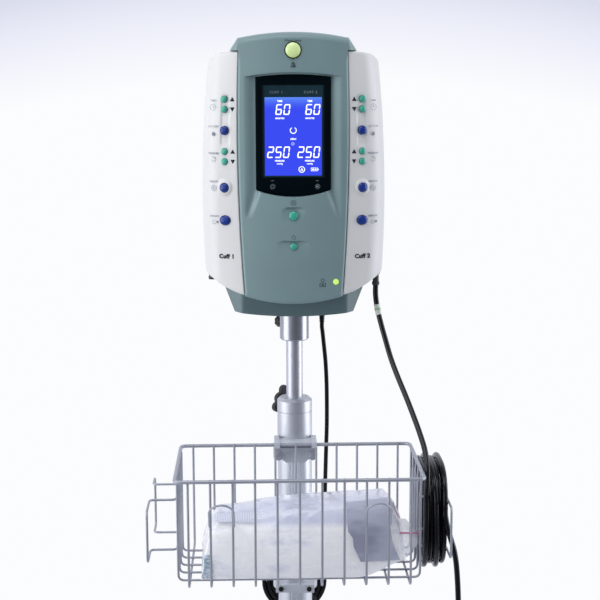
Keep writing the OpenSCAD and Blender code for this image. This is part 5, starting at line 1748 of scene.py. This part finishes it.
for k in range(1, 6):
    fork, wheel = f"caster_fork_{k}", f"caster_wheel_{k}"
    softened(fork, f"caster_fork_frame_{k}", fork_grey, fork, 0.6, 50)
    turn = (spun(-90 + 72 * (k - 1), "Z") @ moved(LEG_REACH + TRAIL, 0, WHEEL_D / 2)
        @ spun(90, "X"))
    piece(f"caster_tyre_{k}", turned(both_sides(tyre_half), 72, turn), tyre_grey, wheel,
        (wheel,), sharp=30)
    piece(f"caster_hub_{k}", turned(both_sides(hub_half), 48, turn), hub_grey, wheel,
        sharp=30)

# %% [markdown]
# ## Room, light and floor
#
# The photograph has the even light of a white studio: large soft lights on both sides,
# a broad one overhead and a weak one in front. The floor keeps the shadows and fades
# into the pale background, which only the camera and see-through rays meet. Every other
# ray meets a plain room, darker in front of the object than behind it.

# %% Lights
for name, place, target, size, power, color in (
        ("left_box", (-2.3, -0.9, 1.3), (0, 0, 1.0), (2.0, 2.5), 43, (0.97, 0.98, 1.0)),
        ("right_box", (2.4, 0.0, 1.3), (0, 0, 1.0), (1.6, 2.5), 37, (0.94, 0.96, 1.0)),
        ("top_box", (-0.5, -1.2, 3.1), (0, 0, 1.1), (2.2, 1.4), 26, (0.97, 0.98, 1.0)),
        ("front_fill", (-1.4, -2.6, 1.5), (0, 0, 1.1), (1.4, 1.4), 7, (0.96, 0.98, 1.0))):
    light = bpy.data.lights.new(name, "AREA")
    light.shape, light.size, light.size_y = "RECTANGLE", *size
    light.energy, light.color = power, color
    aim = (Vector(target) - Vector(place)).to_track_quat("-Z", "Y")
    softbox = link(bpy.data.objects.new(name, light))
    softbox.matrix_world = Matrix.Translation(place) @ aim.to_matrix().to_4x4()

# %% Floor
fade = Finish("floor_fade", (0.90, 0.91, 0.95), 0.9)
flat = fade.node("ShaderNodeVectorMath", {"operation": "LENGTH"}, {0: fade.place}, 1)
fade.feed("Base Color", fade.blend_tones(fade.specks(3, 2), (0.88, 0.89, 0.94),
    (0.92, 0.93, 0.97)))
clear = fade.node("ShaderNodeBsdfTransparent", {}, {})
shade = fade.node("ShaderNodeMixShader", {}, {0: flat.between(0.55, 1.35),
    1: Signal(fade, fade.shader.outputs[0]), 2: clear})
fade.tree.links.new(shade.socket,
    fade.tree.nodes["Material Output"].inputs["Surface"])
FLOOR_R, FLOOR_SIDES = 2600, 96
disc = bmesh.new()
bmesh.ops.create_circle(disc, cap_ends=True, radius=FLOOR_R, segments=FLOOR_SIDES)
floor = piece("floor_disc", disc, fade, None, sharp=0)

# %% The studio round the object: what the camera sees and what the surfaces meet
world = bpy.data.worlds.new("studio")
scene.world = world
world.use_nodes = True
studio = world.node_tree
studio.nodes.clear()
ray = new_node(studio, "ShaderNodeLightPath", {}, {}).outputs
generated = new_node(studio, "ShaderNodeTexCoord", {}, {}).outputs["Generated"]
towards = new_node(studio, "ShaderNodeSeparateXYZ", {}, {0: generated}).outputs


def studio_maths(kind, *values, **settings):
    """One step of arithmetic in the studio's node tree."""
    return new_node(studio, "ShaderNodeMath", {"operation": kind, **settings},
        dict(enumerate(values))).outputs[0]


def backdrop(height, stops):
    """A background whose colour runs through stops with a height from 0 to 1."""
    shades = new_node(studio, "ShaderNodeValToRGB", {"stops": stops}, {0: height})
    return new_node(studio, "ShaderNodeBackground", {},
        {"Color": shades.outputs[0]}).outputs[0]


pale = backdrop(studio_maths("MULTIPLY_ADD", studio_maths("POWER", towards["X"], 2), 0.55,
    towards["Z"]), ((0.0, (0.97, 0.974, 0.99)), (0.025, (0.905, 0.915, 0.975)),
    (0.052, (0.81, 0.825, 0.93)), (0.085, (0.655, 0.675, 0.80))))
room_light = backdrop(studio_maths("MULTIPLY_ADD", towards["Y"], 0.5, 0.5),
    ((0.0, (0.17, 0.18, 0.21)), (0.35, (0.34, 0.36, 0.42)), (0.75, (0.80, 0.82, 0.90))))
seen = studio_maths("ADD", ray["Is Camera Ray"], ray["Is Transmission Ray"],
    use_clamp=True)
choice = new_node(studio, "ShaderNodeMixShader", {}, {0: seen, 1: room_light, 2: pale})
new_node(studio, "ShaderNodeOutputWorld", {}, {0: choice.outputs[0]})

# %% [markdown]
# ## Colour view
#
# The render uses Blender's plain Standard view transform.

# %% The last step: the view transform
scene.view_settings.view_transform = "Standard"
